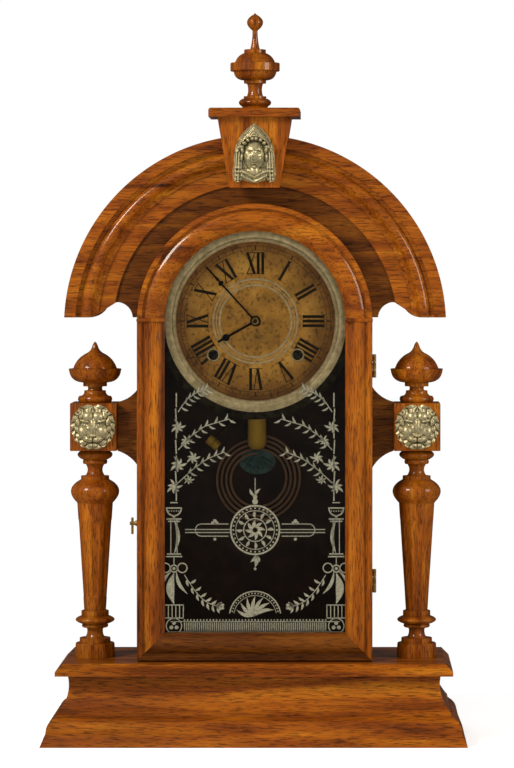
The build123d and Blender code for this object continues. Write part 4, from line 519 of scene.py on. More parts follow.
def mask_height(x, z):
    """Face, curls, hood, lappets and collar as soft domes, with ribs and folds laid on them."""
    side = np.abs(x)
    edge = 25.6 - 19.0 * (side / 14.6) ** 1.2 - z
    hood = (7.2 * np.sqrt(np.clip(edge / 4, 0, 1)) + 1.2 * np.exp(-(((edge - 1.4) / 0.6) ** 2))
            + 0.3 * np.sin(2.4 * edge)) * np.clip((np.hypot(x, z - 0.4) - 12.2) / 1.5, 0, 1)
    hood = hood * (z > 1) * np.clip(edge, 0, 1)
    veil = np.clip(1 - ((side - 13.8) / 3.9) ** 2, 0, 1) * np.clip((9 - z) / 3, 0, 1)
    strips = (5.4 * np.sqrt(veil) + 0.7 * veil * np.sin(2.6 * side + 0.12 * z)
              + 0.5 * veil * np.sin(1.9 * z) * (z < -12))
    drape = np.clip(1 - ((z + 20) / 7.5) ** 2, 0, 1) * np.clip((12.5 - side) / 2, 0, 1)
    collar = 5.6 * np.sqrt(drape) + 0.9 * drape * np.sin(1.45 * (z + 26 - 0.55 * side))
    curls = [(sx * 11.6 * np.sin(radians(a)), 0.4 + 12.0 * np.cos(radians(a)), 2.3, 2.2, 9.2, 0)
             for a in (8, 28, 48, 67) for sx in (-1, 1)]
    locks = both([(10.2, 2.6, 1.9, 3.6, 7.8, -8), (10.6, -3.6, 1.6, 4.6, 6.8, 4),
                  (11.9, 5.2, 2.0, 2.6, 8.2, 20)])
    face = bumps(x, z, both([
        (0.43 * face_half, brow_line, 2.9, 0.8, 9.0, -8), (0.42 * face_half, eye_line, 1.65, 0.95, 8.7, 0),
        (4.6, nose_line + 0.6, 3.3, 4.2, 8.5, 0), (1.15, nose_line + 0.5, 0.9, 0.8, 9.6, 0),
    ]) + curls + locks + [
        (0, face_middle, face_half + 1.0, face_tall + 1.0, 8.3, 0),
        (0, face_middle, face_half, face_tall, 8.8, 0),
        (0, nose_line + 4.0, 1.25, 4.8, 10.0, 0), (0, nose_line + 0.9, 1.35, 1.3, 10.4, 0),
        (0, mouth_line + 0.45, 2.5, 0.75, 9.7, 0), (0, mouth_line - 0.8, 2.0, 0.85, 9.6, 0),
        (0, mouth_line - 3.7, 2.5, 2.0, 9.2, 0), (0, -15.5, 5.0, 7.0, 6.0, 0),
    ], 0.35)
    sockets = sum(
        2.4 * np.exp(-((x - s * 0.42 * face_half) / 2.1) ** 2 - ((z - eye_line - 0.2) / 1.3) ** 2)
        - 1.5 * np.exp(-((x - s * 0.42 * face_half) / 1.4) ** 2 - ((z - eye_line) / 0.7) ** 2)
        for s in (-1, 1))
    lips = 0.7 * np.exp(-((x / 2.3) ** 4)) * np.exp(-(((z - mouth_line + 0.15) / 0.26) ** 2))
    plate = np.full_like(x, 1.6)
    return np.clip(np.maximum.reduce([face - sockets - lips, hood, strips, collar, plate]), 0, mask_proud)


mask_low, mask_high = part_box("crown_mask")
relief("crown_mask_cast", "crown_mask", 0.0, (mask_low[2] + mask_high[2]) / 2 / MM, mask_high[1] / MM,
       mask_outline, mask_height, mask_brass, 130, 320)

# Door frame: stiles, rail and arch of one moulded section, a roll between a flat outer strip and a
# bevel, joined under a plain impost bead. Glued, then polished with the case.
door_low, door_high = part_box("door_arch")
door_half, door_front, door_back = door_high[0] / MM, door_low[1] / MM, door_high[1] / MM
door_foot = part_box("door_rail")[0][2] / MM
arch_centre = door_high[2] / MM - door_half
frame_width = 23.25
frame_section = np.concatenate([
    [(0.0, 0.6), (0.6, 0.0), (3.8, 0.0), (4.35, 0.5), (4.6, 2.9), (6.1, 2.9)],
    arc(6.3, 2.4, 20.0, 2.7, -2.3, 18), [(20.6, 3.3), (23.0, 5.3), (23.25, 5.6), (23.25, 12.0), (19.05, 12.0),
                                         (19.05, 18.0), (0.0, 18.0)],
])
inset, depth = frame_section.T
impost_low, impost_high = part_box("door_stile_left")[1][2] / MM - 3.4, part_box("door_stile_left")[1][2] / MM
for side, sign in (("left", -1), ("right", 1)):
    x = sign * (door_half - inset)
    rows = [np.stack([x, door_front + depth, door_foot + inset], 1),
            np.stack([x, door_front + depth, impost_low + 0 * x], 1)]
    middle = sign * (door_half - frame_width / 2)
    bead = rounded_box((middle - frame_width / 2 - 0.4, door_front - 0.8, impost_low),
                       (middle + frame_width / 2 + 0.4, door_back - 6.2, impost_high), 0.9)
    piece(f"door_stile_{side}_moulded", [np.array(rows) * MM, bead], wood_upright, "door",
          [f"door_stile_{side}"])
rows = [np.stack([side * (door_half - inset), door_front + depth, door_foot + inset], 1) for side in (-1, 1)]
# The rail uses the same darker tone that is painted in as recess shade.
piece("door_rail_moulded", [np.array(rows) * MM], wood_darkened_as_recess_shade, "door", ["door_rail"])
reach = door_half - inset
starts = np.arcsin((impost_high - arch_centre) / reach)
angles = starts[None, :] + np.linspace(0, 1, 97)[:, None] * (pi - 2 * starts[None, :])
arch_rows = np.stack([
    reach * np.cos(angles), door_front + depth + 0 * angles,
    arch_centre + reach * np.sin(angles)], axis=2) * MM
piece("door_arch_moulded", [arch_rows], wood_level, "door", ["door_arch"])
dress("glazing_strips", stained_wood)

# Door glass: one sheet of old window glass in the rebate, held by strips. From the front it lets light
# through with a thin sheen. From 60 degrees above, the pane comes out black, a fault that is left here.
glass_low, glass_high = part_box("door_glass")
glass_half, glass_foot = glass_high[0] / MM, glass_low[2] / MM
glass_front, glass_back = glass_low[1] / MM, glass_high[1] / MM
turn = np.linspace(0, pi, 65)
pane = np.concatenate([
    [(glass_half, glass_foot)],
    np.stack([glass_half * np.cos(turn), arch_z + glass_half * np.sin(turn)], 1),
    [(-glass_half, glass_foot)],
])
pane_rows = np.array([np.stack([pane[:, 0], np.full(len(pane), y), pane[:, 1]], 1)
                      for y in (glass_front, glass_back)]) * MM
window_glass, tree = new_material("old_window_glass")
clear = add_node(tree, "ShaderNodeBsdfTransparent", {"Color": linear("#fcf9f1")})
sheen = add_node(tree, "ShaderNodeBsdfGlossy", {"Color": linear("#ffffff"), "Roughness": 0.03})
facing = add_node(tree, "ShaderNodeFresnel", {"IOR": 1.45})
mixed = add_node(tree, "ShaderNodeMixShader", {
    "Fac": facing.outputs[0], 1: clear.outputs[0], 2: sheen.outputs[0]})
add_node(tree, "ShaderNodeOutputMaterial", {"Surface": mixed.outputs[0]})
piece("door_glass_pane", [pane_rows], window_glass, "door", ["door_glass"])

# Tablet: the traditional pattern is silvered on the back of the glass with a stencil. Every line of it is
# a flat ribbon, so leaves, rings and bars are one kind of strip with its own widths.
tablet_y, tablet_thick = glass_back + 0.02, 0.12
# Silver leaf under old varnish is pale grey and half matt, so the pattern shows light on the dark inside.
silvering = plain("stencilled_silver_leaf", "#eef1ec", 0.5, mottle=0.22, mottle_size=2.0, dark="#a6aca6")


def ribbon(path, half_width, back=None, thick=None):
    """A flat ribbon along a path of x, z points in millimetres: the path shifted both ways by the
    half width, square to its own direction, given a front and a back."""
    path = np.asarray(path, float)
    way = np.gradient(path, axis=0)
    way /= np.maximum(np.hypot(*way.T), 1e-9)[:, None]
    side = np.stack([-way[:, 1], way[:, 0]], 1) * np.broadcast_to(half_width, len(path))[:, None]
    near = tablet_y if back is None else back
    far = near + (tablet_thick if thick is None else thick)
    corners = [(path + side, near), (path - side, near), (path - side, far), (path + side, far)]
    return np.stack([np.stack([p[:, 0], np.full(len(path), y), p[:, 1]], 1) for p, y in corners], axis=1) * MM


def leaf(x, z, angle, length, width):
    """A pointed leaf from its stalk: the half width follows a sine along its length."""
    t = np.linspace(0.0, 1, 9)
    a = radians(angle)
    bend = 0.12 * length * np.sin(pi * t)
    path = np.stack([x + length * t * np.cos(a) - bend * np.sin(a),
                     z + length * t * np.sin(a) + bend * np.cos(a)], 1)
    return ribbon(path, width / 2 * np.sin(pi * np.clip(t, 0.03, 0.97)))


def circle(x, z, radius, width, start=0, stop=360, count=33):
    """A ring, or part of one, as a ribbon round a centre."""
    a = np.radians(np.linspace(start, stop, count))
    return ribbon(np.stack([x + radius * np.cos(a), z + radius * np.sin(a)], 1), width / 2)


def line(points, width):
    """Straight runs of one width."""
    return ribbon(points, width / 2)


def disc(x, z, radius):
    """A dot: a ribbon across its middle whose half width follows the circle."""
    t = np.linspace(-0.98, 0.98, 9) * radius
    return ribbon(np.stack([x + t, z + 0 * t], 1), np.sqrt(radius ** 2 - t ** 2))


def burst(x, z, size, count=7, first=-90):
    """A burst of leaves round a point."""
    return [leaf(x, z, first + index * 360 / count, size * (1 if index % 2 else 0.75), size * 0.28)
            for index in range(count)]


PIXEL_X, PIXEL_Z = 345.0, 263.0
camera_x, camera_y, camera_z, focal_px = 77.0, -2667.0, 408.3, 3088.0
per_pixel = (glass_back - camera_y) / focal_px


def seen_height(row):
    """The height on the glass of a pixel row of the photograph."""
    return camera_z - (row - PIXEL_Z) * per_pixel


def seen_at(column, row):
    """The point of the glass at a pixel of the photograph."""
    return camera_x + (column - PIXEL_X) * per_pixel, seen_height(row)


stem_row, medal_row, fan_row, dot_row, reed_top_row, reed_foot_row = 478, 530, 617, 620, 622.5, 631
medal_x, medal_z = 0.0, seen_height(medal_row)
medal_radius = 20.8
central = [circle(medal_x, medal_z, medal_radius, 1.5, count=65),
           circle(medal_x, medal_z, medal_radius - 4.2, 0.6, count=65),
           circle(medal_x, medal_z, 9.8, 0.9, count=49), disc(medal_x, medal_z, 2.2)]
central += [disc(medal_x + (medal_radius - 2.1) * np.cos(a), medal_z + (medal_radius - 2.1) * np.sin(a), 0.75)
            for a in np.linspace(0, tau, 32, endpoint=False)]
central += [leaf(medal_x, medal_z, a, 8.6, 3.0) for a in range(0, 360, 45)]
central += [leaf(medal_x + 10.4 * np.cos(radians(a)), medal_z + 10.4 * np.sin(radians(a)), a, 6.0, 2.6)
            for a in range(0, 360, 30)]
stem_top = seen_height(stem_row)
central += [line([(0, stem_top), (0, medal_z + medal_radius + 11)], 0.7),
            disc(0, medal_z + medal_radius + 7.6, 1.9), disc(0, medal_z + medal_radius + 3.6, 2.5),
            leaf(0, medal_z + medal_radius + 8, 55, 8, 2.4),
            leaf(0, medal_z + medal_radius + 8, 125, 8, 2.4)]
central += [leaf(0, medal_z - medal_radius, -90, 11, 3.6), leaf(0, medal_z - medal_radius - 1, -55, 7, 2.2),
            leaf(0, medal_z - medal_radius - 1, -125, 7, 2.2), disc(0, medal_z - medal_radius - 12.5, 1.2)]
fan_z, fan_radius = seen_height(fan_row), 22.0
central += [circle(0, fan_z, fan_radius, 1.0, 8, 172, 41),
            circle(0, fan_z, fan_radius - 3.6, 0.5, 10, 170, 41)]
central += [disc((fan_radius - 1.8) * np.cos(a), fan_z + (fan_radius - 1.8) * np.sin(a), 0.6)
            for a in np.radians(np.linspace(14, 166, 21))]
central += [leaf(0, fan_z + 1, a, fan_radius - 5.4, 3.2) for a in range(18, 163, 24)]
dot_z, reed_top, reed_foot = seen_height(dot_row), seen_height(reed_top_row), seen_height(reed_foot_row)
reach_half = 60.5
central += [disc(x, dot_z, 0.7) for x in np.linspace(-reach_half, reach_half, 45)]
central += [line([(x, reed_top), (x, reed_foot)], 0.75) for x in np.linspace(-reach_half, reach_half, 76)]
central += [line([(-reach_half - 12, z), (reach_half + 12, z)], 0.6)
            for z in (reed_top + 0.8, reed_foot - 0.8, reed_foot - 3.0)]

stalk_row, post_top_row, bar_row, post_foot_row = 392, 519, 531, 554
swag_row, box_top_row, box_foot_row, trefoil_row = 575, 605, 618, 626
post_x, post_top, post_foot = 69.5, seen_height(post_top_row), seen_height(post_foot_row)
bar_z = seen_height(bar_row)
half = [line([(post_x - 9.5, z), (medal_radius + 0.6, z)], 0.8) for z in (bar_z + 1.3, bar_z - 1.3)]
half += [line([(46, z), (medal_radius + 2, z)], 0.8) for z in (bar_z + 6.0, bar_z - 4.4)]
half += [disc(34.5, bar_z + 8.6, 1.6), disc(32.4, bar_z + 7.0, 1.1), disc(36.6, bar_z + 7.0, 1.1),
         disc(34.5, bar_z - 7.0, 1.3)]
half += [circle(46, bar_z + 0.8, 5.2, 0.8, -90, 90, 17)]
half += [line([(post_x + s * 2.7, post_top), (post_x + s * 2.7, post_foot)], 0.8) for s in (-1, 1)]
half += [leaf(post_x, post_foot, 90, post_top - post_foot, 3.2)]
half += [line([(post_x - w, z), (post_x + w, z)], 1.1) for w, z in (
    (6.4, post_top), (5.2, post_top - 2.0), (6.0, post_foot), (7.0, post_foot - 2.2))]
urn_foot, urn_top = post_top + 1, post_top + 14
half += [circle(post_x, urn_top - 5, 6.2, 1.2, 180, 360, 25),
         line([(post_x - 7, urn_top - 4.6), (post_x + 7, urn_top - 4.6)], 1.2),
         line([(post_x - 3.2, urn_top), (post_x + 3.2, urn_top)], 0.9),
         line([(post_x, urn_foot), (post_x, urn_foot + 2.4)], 2.0)]
half += [disc(post_x + x, urn_top - 7.2, 0.55) for x in (-4.2, -2.1, 0, 2.1, 4.2)]
bow_z = post_foot - 12.5
half += [circle(post_x, bow_z, 3.0, 1.1), disc(post_x, bow_z, 1.3)]
half += [circle(post_x + s * 7.2, bow_z + 0.6, 4.0, 1.0) for s in (-1, 1)]
half += [leaf(post_x + s * 2, bow_z - 2, -90 + s * 26, 22, 3.0) for s in (-1, 1)]
half += [leaf(post_x, bow_z - 4, -90, 26, 7.0), line([(post_x, bow_z + 4), (post_x, post_foot - 3)], 0.8)]
box_top, box_foot = seen_height(box_top_row), seen_height(box_foot_row)
half += [line([(post_x - 8.4, z), (post_x + 8.4, z)], 0.9) for z in (box_top, box_foot)]
half += [line([(post_x + x, box_top), (post_x + x, box_foot)], 0.8) for x in (-8, -4.8, -1.6, 1.6, 4.8, 8)]
trefoil_z = seen_height(trefoil_row)
half += [circle(post_x, trefoil_z, 6.6, 0.9)]
half += [disc(post_x + 2.6 * np.cos(a), trefoil_z + 2.6 * np.sin(a), 1.7) for a in np.radians((90, 210, 330))]
swag_t = np.linspace(0, 1, 15)
swag = np.stack([post_x - 9 - 31 * swag_t, seen_height(swag_row) - 27 * swag_t - 7 * np.sin(pi * swag_t)], 1)
half += [ribbon(swag, 0.35)]
for index, (x, z) in enumerate(swag[1:-1]):
    half += [leaf(x, z, 150 if index % 2 else 258, 6.4, 2.1)]
half += [disc(swag[-1, 0] + 2.1 * np.cos(a), swag[-1, 1] + 2.1 * np.sin(a), 1.4)
         for a in np.radians(range(0, 360, 72))]
stalk_foot, joints = urn_top + 1, 7
stalk_tall = seen_height(stalk_row) - stalk_foot
half += [line([(post_x - 2, stalk_foot + stalk_tall * (i + 0.04) / joints),
               (post_x - 2 + 0.6 * (i % 2), stalk_foot + stalk_tall * (i + 0.94) / joints)], 1.1)
         for i in range(joints)]
flower_pixels = ((178, 427, 7.0), (178, 465, 8.0), (193, 458, 6.5), (174, 487, 7.5), (186, 441, 5.5),
                 (189, 480, 5.0))
for column, row, size in flower_pixels:
    x, z = seen_at(column, row)
    half += burst(-x, z, size)
twig_pixels = (((178, 450), (190, 437), (205, 426), (229, 419)),
               ((178, 483), (192, 470), (207, 459), (224, 452)),
               ((178, 412), (186, 400), (196, 393), (206, 389)))
for pixels in twig_pixels:
    knots = np.array([seen_at(*pixel) for pixel in pixels])
    along, knot_along = np.linspace(0, 1, 15), np.linspace(0, 1, len(pixels))
    twig = np.stack([-np.interp(along, knot_along, knots[:, 0]),
                     np.interp(along, knot_along, knots[:, 1])], 1)
    half += [ribbon(twig, 0.4)]
    for index, (x, z) in enumerate(twig[2:]):
        half += [leaf(x, z, 118 if index % 2 else 208, 7.0, 1.7)]


def mirrored(grid):
    """The same ribbon on the other side of the middle."""
    return grid * np.array([-1.0, 1.0, 1.0])


tablet = central + half + [mirrored(grid) for grid in half]
piece("door_glass_tablet", tablet, silvering, "door")

# Hinges, latch and keeper: small brass fittings, screwed to the wood. Brass left to tone is soft brown,
# with darker clouds 3 mm wide.
aged_brass = plain("aged_brass_fitting", "#a88a48", 0.38, 0.6, mottle=0.25, mottle_size=3, dark="#4f3d1c")
for name in ("latch_turn", "latch_keeper", "case_hinge_leaves", "door_hinge_leaves"):
    dress(name, aged_brass)

# Dial: a zinc pan painted ivory and browned by age, with printed Roman hours, a rolled nickel bezel, a
# pressed ring round the middle and grommets at the winding holes.
face_low, face_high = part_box("dial_face")
dial_z = (face_low[2] + face_high[2]) / 2 / MM
face_thick = 0.3
face_front = face_high[1] / MM - face_thick


def aged_paint_with_bezel_shadow(name):
    """Ivory paint browned by smoke. Clouds up to 26 mm wide shade it from gold to brown, foxing spots
    up to 3 mm wide darken it, and a painted shadow of the bezel darkens it away from the dial's middle."""
    material, tree = new_material(name)
    place = add_node(tree, "ShaderNodeTexCoord").outputs["Object"]
    clouds = add_node(tree, "ShaderNodeTexNoise", {
        "Vector": place, "Scale": 1 / (26 * MM), "Detail": 5.0, "Roughness": 0.65})
    spots = add_node(tree, "ShaderNodeTexNoise", {"Vector": place, "Scale": 1 / (3.0 * MM), "Detail": 3.0})
    colour = add_node(tree, "ShaderNodeValToRGB", {"Fac": clouds.outputs[0]},
                      [(0.32, "#96702a"), (0.5, "#be8c34"), (0.66, "#dcae50")])
    foxing = add_node(tree, "ShaderNodeValToRGB", {"Fac": spots.outputs[0]},
                      [(0.34, "#6b5a40"), (0.46, "#ffffff")])
    # Painted shadow of the bezel and frame: the paint darkens from 42 mm to 68 mm out from the middle.
    middle = add_node(tree, "ShaderNodeVectorMath", {
        0: place, 1: (0, face_front * MM, dial_z * MM)}, operation="DISTANCE").outputs["Value"]
    reach = add_node(tree, "ShaderNodeMath", {0: middle, 1: 10.0}, operation="MULTIPLY")
    edge = add_node(tree, "ShaderNodeValToRGB", {"Fac": reach.outputs[0]},
                    [(0.42, "#ffffff"), (0.68, "#a08c70")])
    foxed = add_node(tree, "ShaderNodeMix", {0: 0.6, 6: colour.outputs[0], 7: foxing.outputs[0]},
                     data_type="RGBA", blend_type="MULTIPLY")
    bezel_shadow_painted = add_node(tree, "ShaderNodeMix", {0: 1.0, 6: foxed.outputs[2], 7: edge.outputs[0]},
                     data_type="RGBA", blend_type="MULTIPLY")
    shader = add_node(tree, "ShaderNodeBsdfPrincipled", {"Base Color": bezel_shadow_painted.outputs[2], "Roughness": 0.5})
    add_node(tree, "ShaderNodeOutputMaterial", {"Surface": shader.outputs[0]})
    return material


dial_paint = aged_paint_with_bezel_shadow("browned_dial_paint_with_painted_bezel_shadow")
dress("dial_face", dial_paint)
# Oxidised zinc is a dull grey-brown metal with dark clouds.
pan_zinc = plain("oxidised_zinc_pan", "#4b4436", 0.55, 0.7, mottle=0.2, mottle_size=6, dark="#221d14")
dress("dial_pan", pan_zinc)
# Nickel plate gone warm is half bright, with yellowish lights broken by clouds 5 mm wide.
nickel = plain("tarnished_nickel_plate", "#fff0cc", 0.26, 0.35, mottle=0.22, mottle_size=5, dark="#b5aa84")


def dial_lathe(profile, x0=0.0, z0=None, sides=128):
    """A form turned about a fore-and-aft axis: radius and depth pairs swept round it."""
    angle = np.linspace(0, tau, sides, endpoint=False)
    radius, depth = np.asarray(profile, float).T
    z0 = dial_z if z0 is None else z0
    return np.stack([
        x0 + radius[:, None] * np.cos(angle), depth[:, None] + 0 * angle,
        z0 + radius[:, None] * np.sin(angle)], axis=2) * MM


pan_front = face_front + face_thick
bezel_profile = np.concatenate([
    [(68.3, pan_front), (68.3, pan_front - 1.7)],
    arc(68.4, pan_front - 1.9, 72.0, pan_front - 1.9, -1.6, 12),
    [(72.3, pan_front - 1.9)], arc(72.5, pan_front - 1.9, 78.1, pan_front - 0.7, -0.35, 8),
    [(78.3, pan_front - 0.5), (78.3, pan_front + 1.6), (77.7, pan_front + 1.6), (77.7, pan_front)],
])
piece("dial_bezel_rolled", [dial_lathe(bezel_profile)], nickel, "case", ["dial_bezel"],
      wrap=(True, True))
ring_profile = np.concatenate([
    [(30.0, face_front + 0.1), (30.1, face_front - 0.35)],
    arc(30.4, face_front - 0.4, 32.0, face_front - 0.4, -0.5, 6),
    arc(32.2, face_front - 0.45, 35.0, face_front - 0.45, -0.45, 8),
    arc(35.2, face_front - 0.4, 36.8, face_front - 0.4, -0.5, 6),
    [(37.0, face_front - 0.35), (37.1, face_front + 0.1)],
])
piece("dial_centre_ring", [dial_lathe(ring_profile, sides=160)], nickel, "case",
      wrap=(True, True))
winding_x, winding_z = 36.3, dial_z - 29.1
grommet = [(4.3, face_front + 0.1), (4.3, face_front - 0.5), (4.7, face_front - 0.75),
           (5.3, face_front - 0.65), (5.8, face_front - 0.2), (5.8, face_front + 0.1)]
piece("dial_grommets", [dial_lathe(grommet, s * winding_x, winding_z, 40) for s in (-1, 1)],
      nickel, "case", wrap=(True, True))

# Dial printing: Roman hours between two radii with their feet to the middle, and a railway minute track,
# in black printing ink 0.05 mm thick. The ink is nearly black and half matt.
ink = plain("black_dial_ink", "#14110c", 0.55)
hour_in, hour_out, track_in, track_out = 40.8, 59.0, 61.2, 64.8
ink_y, ink_thick = face_front - 0.06, 0.05
HOURS = ("XII", "I", "II", "III", "IIII", "V", "VI", "VII", "VIII", "IX", "X", "XI")
LETTER = {"I": (3.9, ((0, 0, 2.5),)), "V": (8.4, ((-3.0, 0.2, 2.5), (3.2, 0.4, 0.8))),
          "X": (8.6, ((-3.1, 3.1, 2.5), (3.3, -3.3, 0.8)))}


def printed(points, half_width):
    """A printed stroke on the dial, given as x right and z up from the dial's centre."""
    return ribbon(np.asarray(points) + (0, dial_z), half_width, ink_y, ink_thick)


printing = []
for hour, letters in enumerate(HOURS):
    a = radians(30 * hour)
    out, right = np.array((np.sin(a), np.cos(a))), np.array((np.cos(a), -np.sin(a)))
    widths = [LETTER[letter][0] for letter in letters]
    along = -sum(widths) / 2
    for letter, width in zip(letters, widths):
        middle = along + width / 2
        for top, foot, weight in LETTER[letter][1]:
            ends = [out * hour_out + right * (middle + top), out * hour_in + right * (middle + foot)]
            printing.append(printed(ends, weight / 2))
        along += width
    for radius in (hour_out, hour_in):
        ends = [out * radius + right * s * (sum(widths) / 2 - 0.2) for s in (-1, 1)]
        printing.append(printed(ends, 0.3))
ring_angle = np.linspace(0, tau, 121)
for radius in (track_in, track_out):
    printing.append(printed(np.stack([radius * np.sin(ring_angle), radius * np.cos(ring_angle)], 1), 0.16))
for minute in range(60):
    a = tau * minute / 60
    way = np.array((np.sin(a), np.cos(a)))
    printing.append(printed([way * track_in, way * track_out], 0.5 if minute % 5 == 0 else 0.18))
piece("dial_printing", printing, ink, "case")

# Hands: stamped steel held by a domed nickel nut. Bluing leaves the steel nearly black, with a cold
# highlight.
blued = plain("blued_steel_hand", "#17181d", 0.32, 0.7)
dress("minute_hand", blued)
dress("hour_hand", blued)
nut_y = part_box("minute_arbor")[0][1] / MM
nut_profile = np.concatenate([
    [(0.0, nut_y)], arc(0.6, nut_y + 0.02, 2.75, nut_y + 3.0, -0.75, 10),
    [(2.3, nut_y + 3.9), (2.3, nut_y + 4.2), (0.0, nut_y + 4.2)]])
piece("hand_nut", [dial_lathe(nut_profile, sides=48)], nickel, "minute")

# Movement: two sheet brass plates with wheels of the same brass, on steel arbors, driven by two blue
# steel springs, behind the dial. Lacquered brass is golden with clear reflections and brown clouds 8 mm
# wide.
movement_brass = plain("lacquered_clock_brass", "#b08a3c", 0.3, 1.0, mottle=0.3, mottle_size=8,
                       dark="#7a5c22")
# Polished steel is a bright cold grey, and a tempered spring is dark blue grey.
arbor_steel = plain("polished_arbor_steel", "#8d9093", 0.25, 1.0)
spring_steel = plain("tempered_spring_steel", "#39424b", 0.3, 0.95)
for name in ("movement_front_plate", "movement_back_plate", "time_great_wheel", "second_wheel",
             "centre_wheel", "third_wheel", "escape_wheel", "strike_great_wheel", "pin_wheel",
             "warning_wheel", "fly", "minute_wheel", "hour_wheel", "hammer", "minute_arbor"):
    dress(name, movement_brass)
for name in ("time_winding_arbor", "strike_winding_arbor", "verge", "pendulum_rod"):
    dress(name, arbor_steel)
dress("mainsprings", spring_steel)

# Pendulum bob: a brass tube filled with lead, closed by a rounded brass foot, on the rod's end. Its brass
# is yellow and gone dull, with a broad soft highlight.
bob_low, bob_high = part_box("pendulum_bob")
bob_y, bob_foot, bob_top = (bob_low[1] + bob_high[1]) / 2 / MM, bob_low[2] / MM, bob_high[2] / MM
bob_profile = np.concatenate([
    [(0.0, bob_foot)], arc(3.0, bob_foot + 0.05, 8.3, bob_foot + 6.4, -1.4, 12),
    [(8.3, bob_top - 2.0), (8.0, bob_top - 0.9), (7.1, bob_top), (1.0, bob_top), (1.0, bob_top - 20),
     (0.0, bob_top - 20)]])
bright_brass = plain("dull_bob_brass", "#c9a545", 0.3, 0.6)
piece("pendulum_bob_tube", [lathe(bob_profile, 0.0, bob_y, 96)], bright_brass, "pendulum",
      ["pendulum_bob"])

# Gong: one browned steel wire wound flat in four turns of growing half circles, with its inner end held in a
# ribbed iron stand on the back board. The hammer's brass head waits off its rim.
gong_y = (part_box("gong_coil")[0][1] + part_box("gong_coil")[1][1]) / 2 / MM
gong_z, first_radius, growth, half_turns, wire = 217.7, 23.4, 2.0, 8, 1.0
turns = np.linspace(0, half_turns, half_turns * 24 + 1)
which = np.minimum(turns.astype(int), half_turns - 1)
radius = first_radius + growth * which
angle = pi * turns
here = gong_z + first_radius
centres = []
for number in range(half_turns):
    sign = 1 if number % 2 == 0 else -1
    centres.append(here - sign * (first_radius + number * growth))
    here -= 2 * sign * (first_radius + number * growth)
centre_z = np.array(centres)[which]
wire_x, wire_z = -radius * np.sin(angle), centre_z + radius * np.cos(angle)
around = np.linspace(0, tau, 12, endpoint=False)
outward = np.stack([-np.sin(angle), np.cos(angle)], 1)
coil = np.stack([
    wire_x[:, None] + wire * np.cos(around) * outward[:, :1],
    gong_y + wire * np.sin(around) + 0 * wire_x[:, None],
    wire_z[:, None] + wire * np.cos(around) * outward[:, 1:]], axis=2) * MM
# Browned steel is brown and half bright. Japanned iron has a dark green lacquer with a soft gloss.
browned_steel = plain("browned_gong_steel", "#7a5f4c", 0.35, 0.4)
japanned_iron = plain("japanned_cast_iron", "#35575b", 0.35, 0.1, mottle=0.2, mottle_size=3, dark="#14282b")
piece("gong_coil_wire", [coil], browned_steel, "case", ["gong_coil"])
dress("gong_base", japanned_iron)
head_x, head_z, head_radius, head_half = -38.8, 250.4, 4.45, 6.1
head_way = np.array((0.755, -0.656))
head_across = np.array((0.656, 0.755))
head_profile = np.array([
    (-head_half, 0.0), (-head_half, 3.6), (-5.5, head_radius), (-0.6, head_radius), (0.0, 4.1),
    (0.6, head_radius), (5.5, head_radius), (head_half, 3.6), (head_half, 0.0)])
spin = np.linspace(0, tau, 48, endpoint=False)
flat = head_profile[:, 1][:, None] * np.cos(spin)
head = np.stack([
    head_x + head_profile[:, 0][:, None] * head_way[0] + flat * head_across[0],
    gong_y + head_profile[:, 1][:, None] * np.sin(spin),
    head_z + head_profile[:, 0][:, None] * head_way[1] + flat * head_across[1]], axis=2) * MM
piece("hammer_head_turned", [head], bright_brass, "hammer_body")

# Floor and backdrop: a sheet of white paper, which the camera sees as plain white with a soft shadow.
# Polished faces see it as dark, so that no white sheen lies over the glass and the varnish.
paper, tree = new_material("white_background_paper")
light_path = add_node(tree, "ShaderNodeLightPath")
diffuse = add_node(tree, "ShaderNodeBsdfDiffuse", {"Color": linear("#f2f2f2")})
glow = add_node(tree, "ShaderNodeEmission", {"Color": linear("#ffffff"), "Strength": 0.42})
both_shaders = add_node(tree, "ShaderNodeAddShader", {0: diffuse.outputs[0], 1: glow.outputs[0]})
unlit = add_node(tree, "ShaderNodeBsdfDiffuse", {"Color": linear("#2c2c2c")})
bounced = add_node(tree, "ShaderNodeMixShader", {
    "Fac": light_path.outputs["Is Glossy Ray"], 1: diffuse.outputs[0], 2: unlit.outputs[0]})
shown = add_node(tree, "ShaderNodeMixShader", {
    "Fac": light_path.outputs["Is Camera Ray"], 1: bounced.outputs[0], 2: both_shaders.outputs[0]})
add_node(tree, "ShaderNodeOutputMaterial", {"Surface": shown.outputs[0]})
floor_side, floor_near, floor_far, floor_level = 3, -2.2, 0.258, -0.0002
floor_corners = [(-floor_side, floor_near, floor_level), (floor_side, floor_near, floor_level),
                 (floor_side, floor_far, floor_level), (-floor_side, floor_far, floor_level)]
floor_mesh = bpy.data.meshes.new("white_floor")
floor_mesh.from_pydata(floor_corners, [], [(0, 1, 2, 3)])
floor_mesh.materials.append(paper)
floor = bpy.data.objects.new("white_floor", floor_mesh)
bpy.context.scene.collection.objects.link(floor)

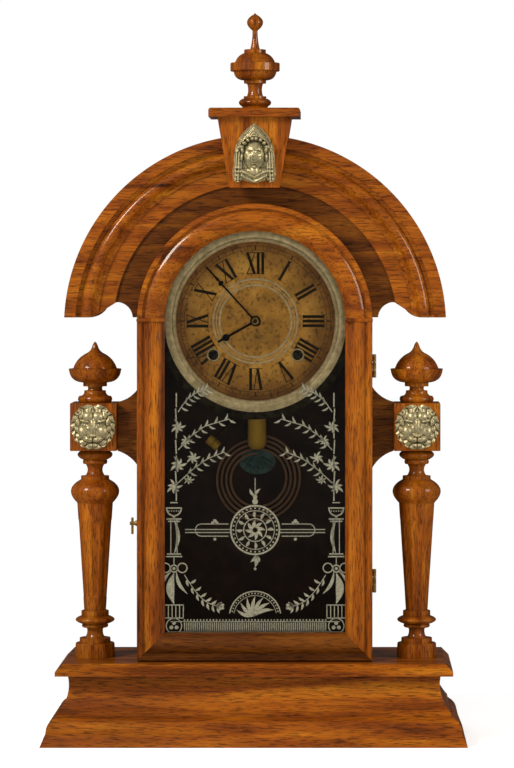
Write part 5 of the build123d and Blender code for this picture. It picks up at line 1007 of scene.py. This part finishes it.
# World: even white light all round. The camera sees it as white paper, and polished faces see it dim, so
# that the glass stays clear from the front.
world = bpy.data.worlds.new("studio_world")
bpy.context.scene.world = world
world.use_nodes = True
tree = world.node_tree
tree.nodes.clear()
path = add_node(tree, "ShaderNodeLightPath")
mirror = add_node(tree, "ShaderNodeMix", {
    0: path.outputs["Is Glossy Ray"], 2: 0.34, 3: 0.06}, data_type="FLOAT")
strength = add_node(tree, "ShaderNodeMix", {
    0: path.outputs["Is Camera Ray"], 2: mirror.outputs[0], 3: 1.0}, data_type="FLOAT")
sky = add_node(tree, "ShaderNodeBackground", {"Color": linear("#ffffff"), "Strength": strength.outputs[0]})
add_node(tree, "ShaderNodeOutputWorld", {"Surface": sky.outputs[0]})

# Lights: a warm key from the upper left and a weaker one from the right give the varnish its highlights.
# One low in front and one behind only fill, and aren't mirrored.


def area_light(name, place, target, size, power, colour="#ffffff", mirrored=True):
    """A square soft light at a place, turned to a target. One that isn't mirrored leaves the glass clear."""
    data = bpy.data.lights.new(name, "AREA")
    data.size, data.energy, data.color = size, power, linear(colour)[:3]
    lamp = bpy.data.objects.new(name, data)
    bpy.context.scene.collection.objects.link(lamp)
    away = np.array(place) - np.array(target)
    flat_way = np.hypot(away[0], away[1])
    lamp.visible_glossy = mirrored
    lamp.location = place
    lamp.rotation_euler = (np.arctan2(flat_way, away[2]), 0, np.arctan2(away[0], -away[1]))


area_light("key_upper_left", (-1.35, -1.25, 1.4), (0, 0, 0.3), 0.6, 50, "#fff4e4")
area_light("side_right", (1.6, -1.0, 0.9), (0, 0, 0.3), 0.8, 24, "#fff8ee")
area_light("front_low", (0.1, -2.4, 0.35), (0, 0, 0.3), 0.9, 16, mirrored=False)
area_light("back_soft", (-0.5, 2.4, 1.1), (0, 0, 0.3), 1.2, 16, mirrored=False)

# Camera: a long lens level with the upper part of the dial, a little to the right of the clock. Its lens
# shift frames the photograph's 514 by 768 pixels round that level line of sight.
PHOTO_WIDE, PHOTO_TALL, SENSOR = 514, 768, 36.0
camera_data = bpy.data.cameras.new("photo_camera")
camera_data.sensor_width = SENSOR
camera_data.lens = focal_px * SENSOR / PHOTO_TALL
camera_data.shift_x = -(PIXEL_X - PHOTO_WIDE / 2) / PHOTO_TALL
camera_data.shift_y = -(PHOTO_TALL / 2 - PIXEL_Z) / PHOTO_TALL
camera = bpy.data.objects.new("photo_camera", camera_data)
bpy.context.scene.collection.objects.link(camera)
camera.location = (camera_x * MM, camera_y * MM, camera_z * MM)
camera.rotation_euler = (pi / 2, 0, 0)
bpy.context.scene.camera = camera
bpy.context.scene.view_settings.view_transform = "Standard"
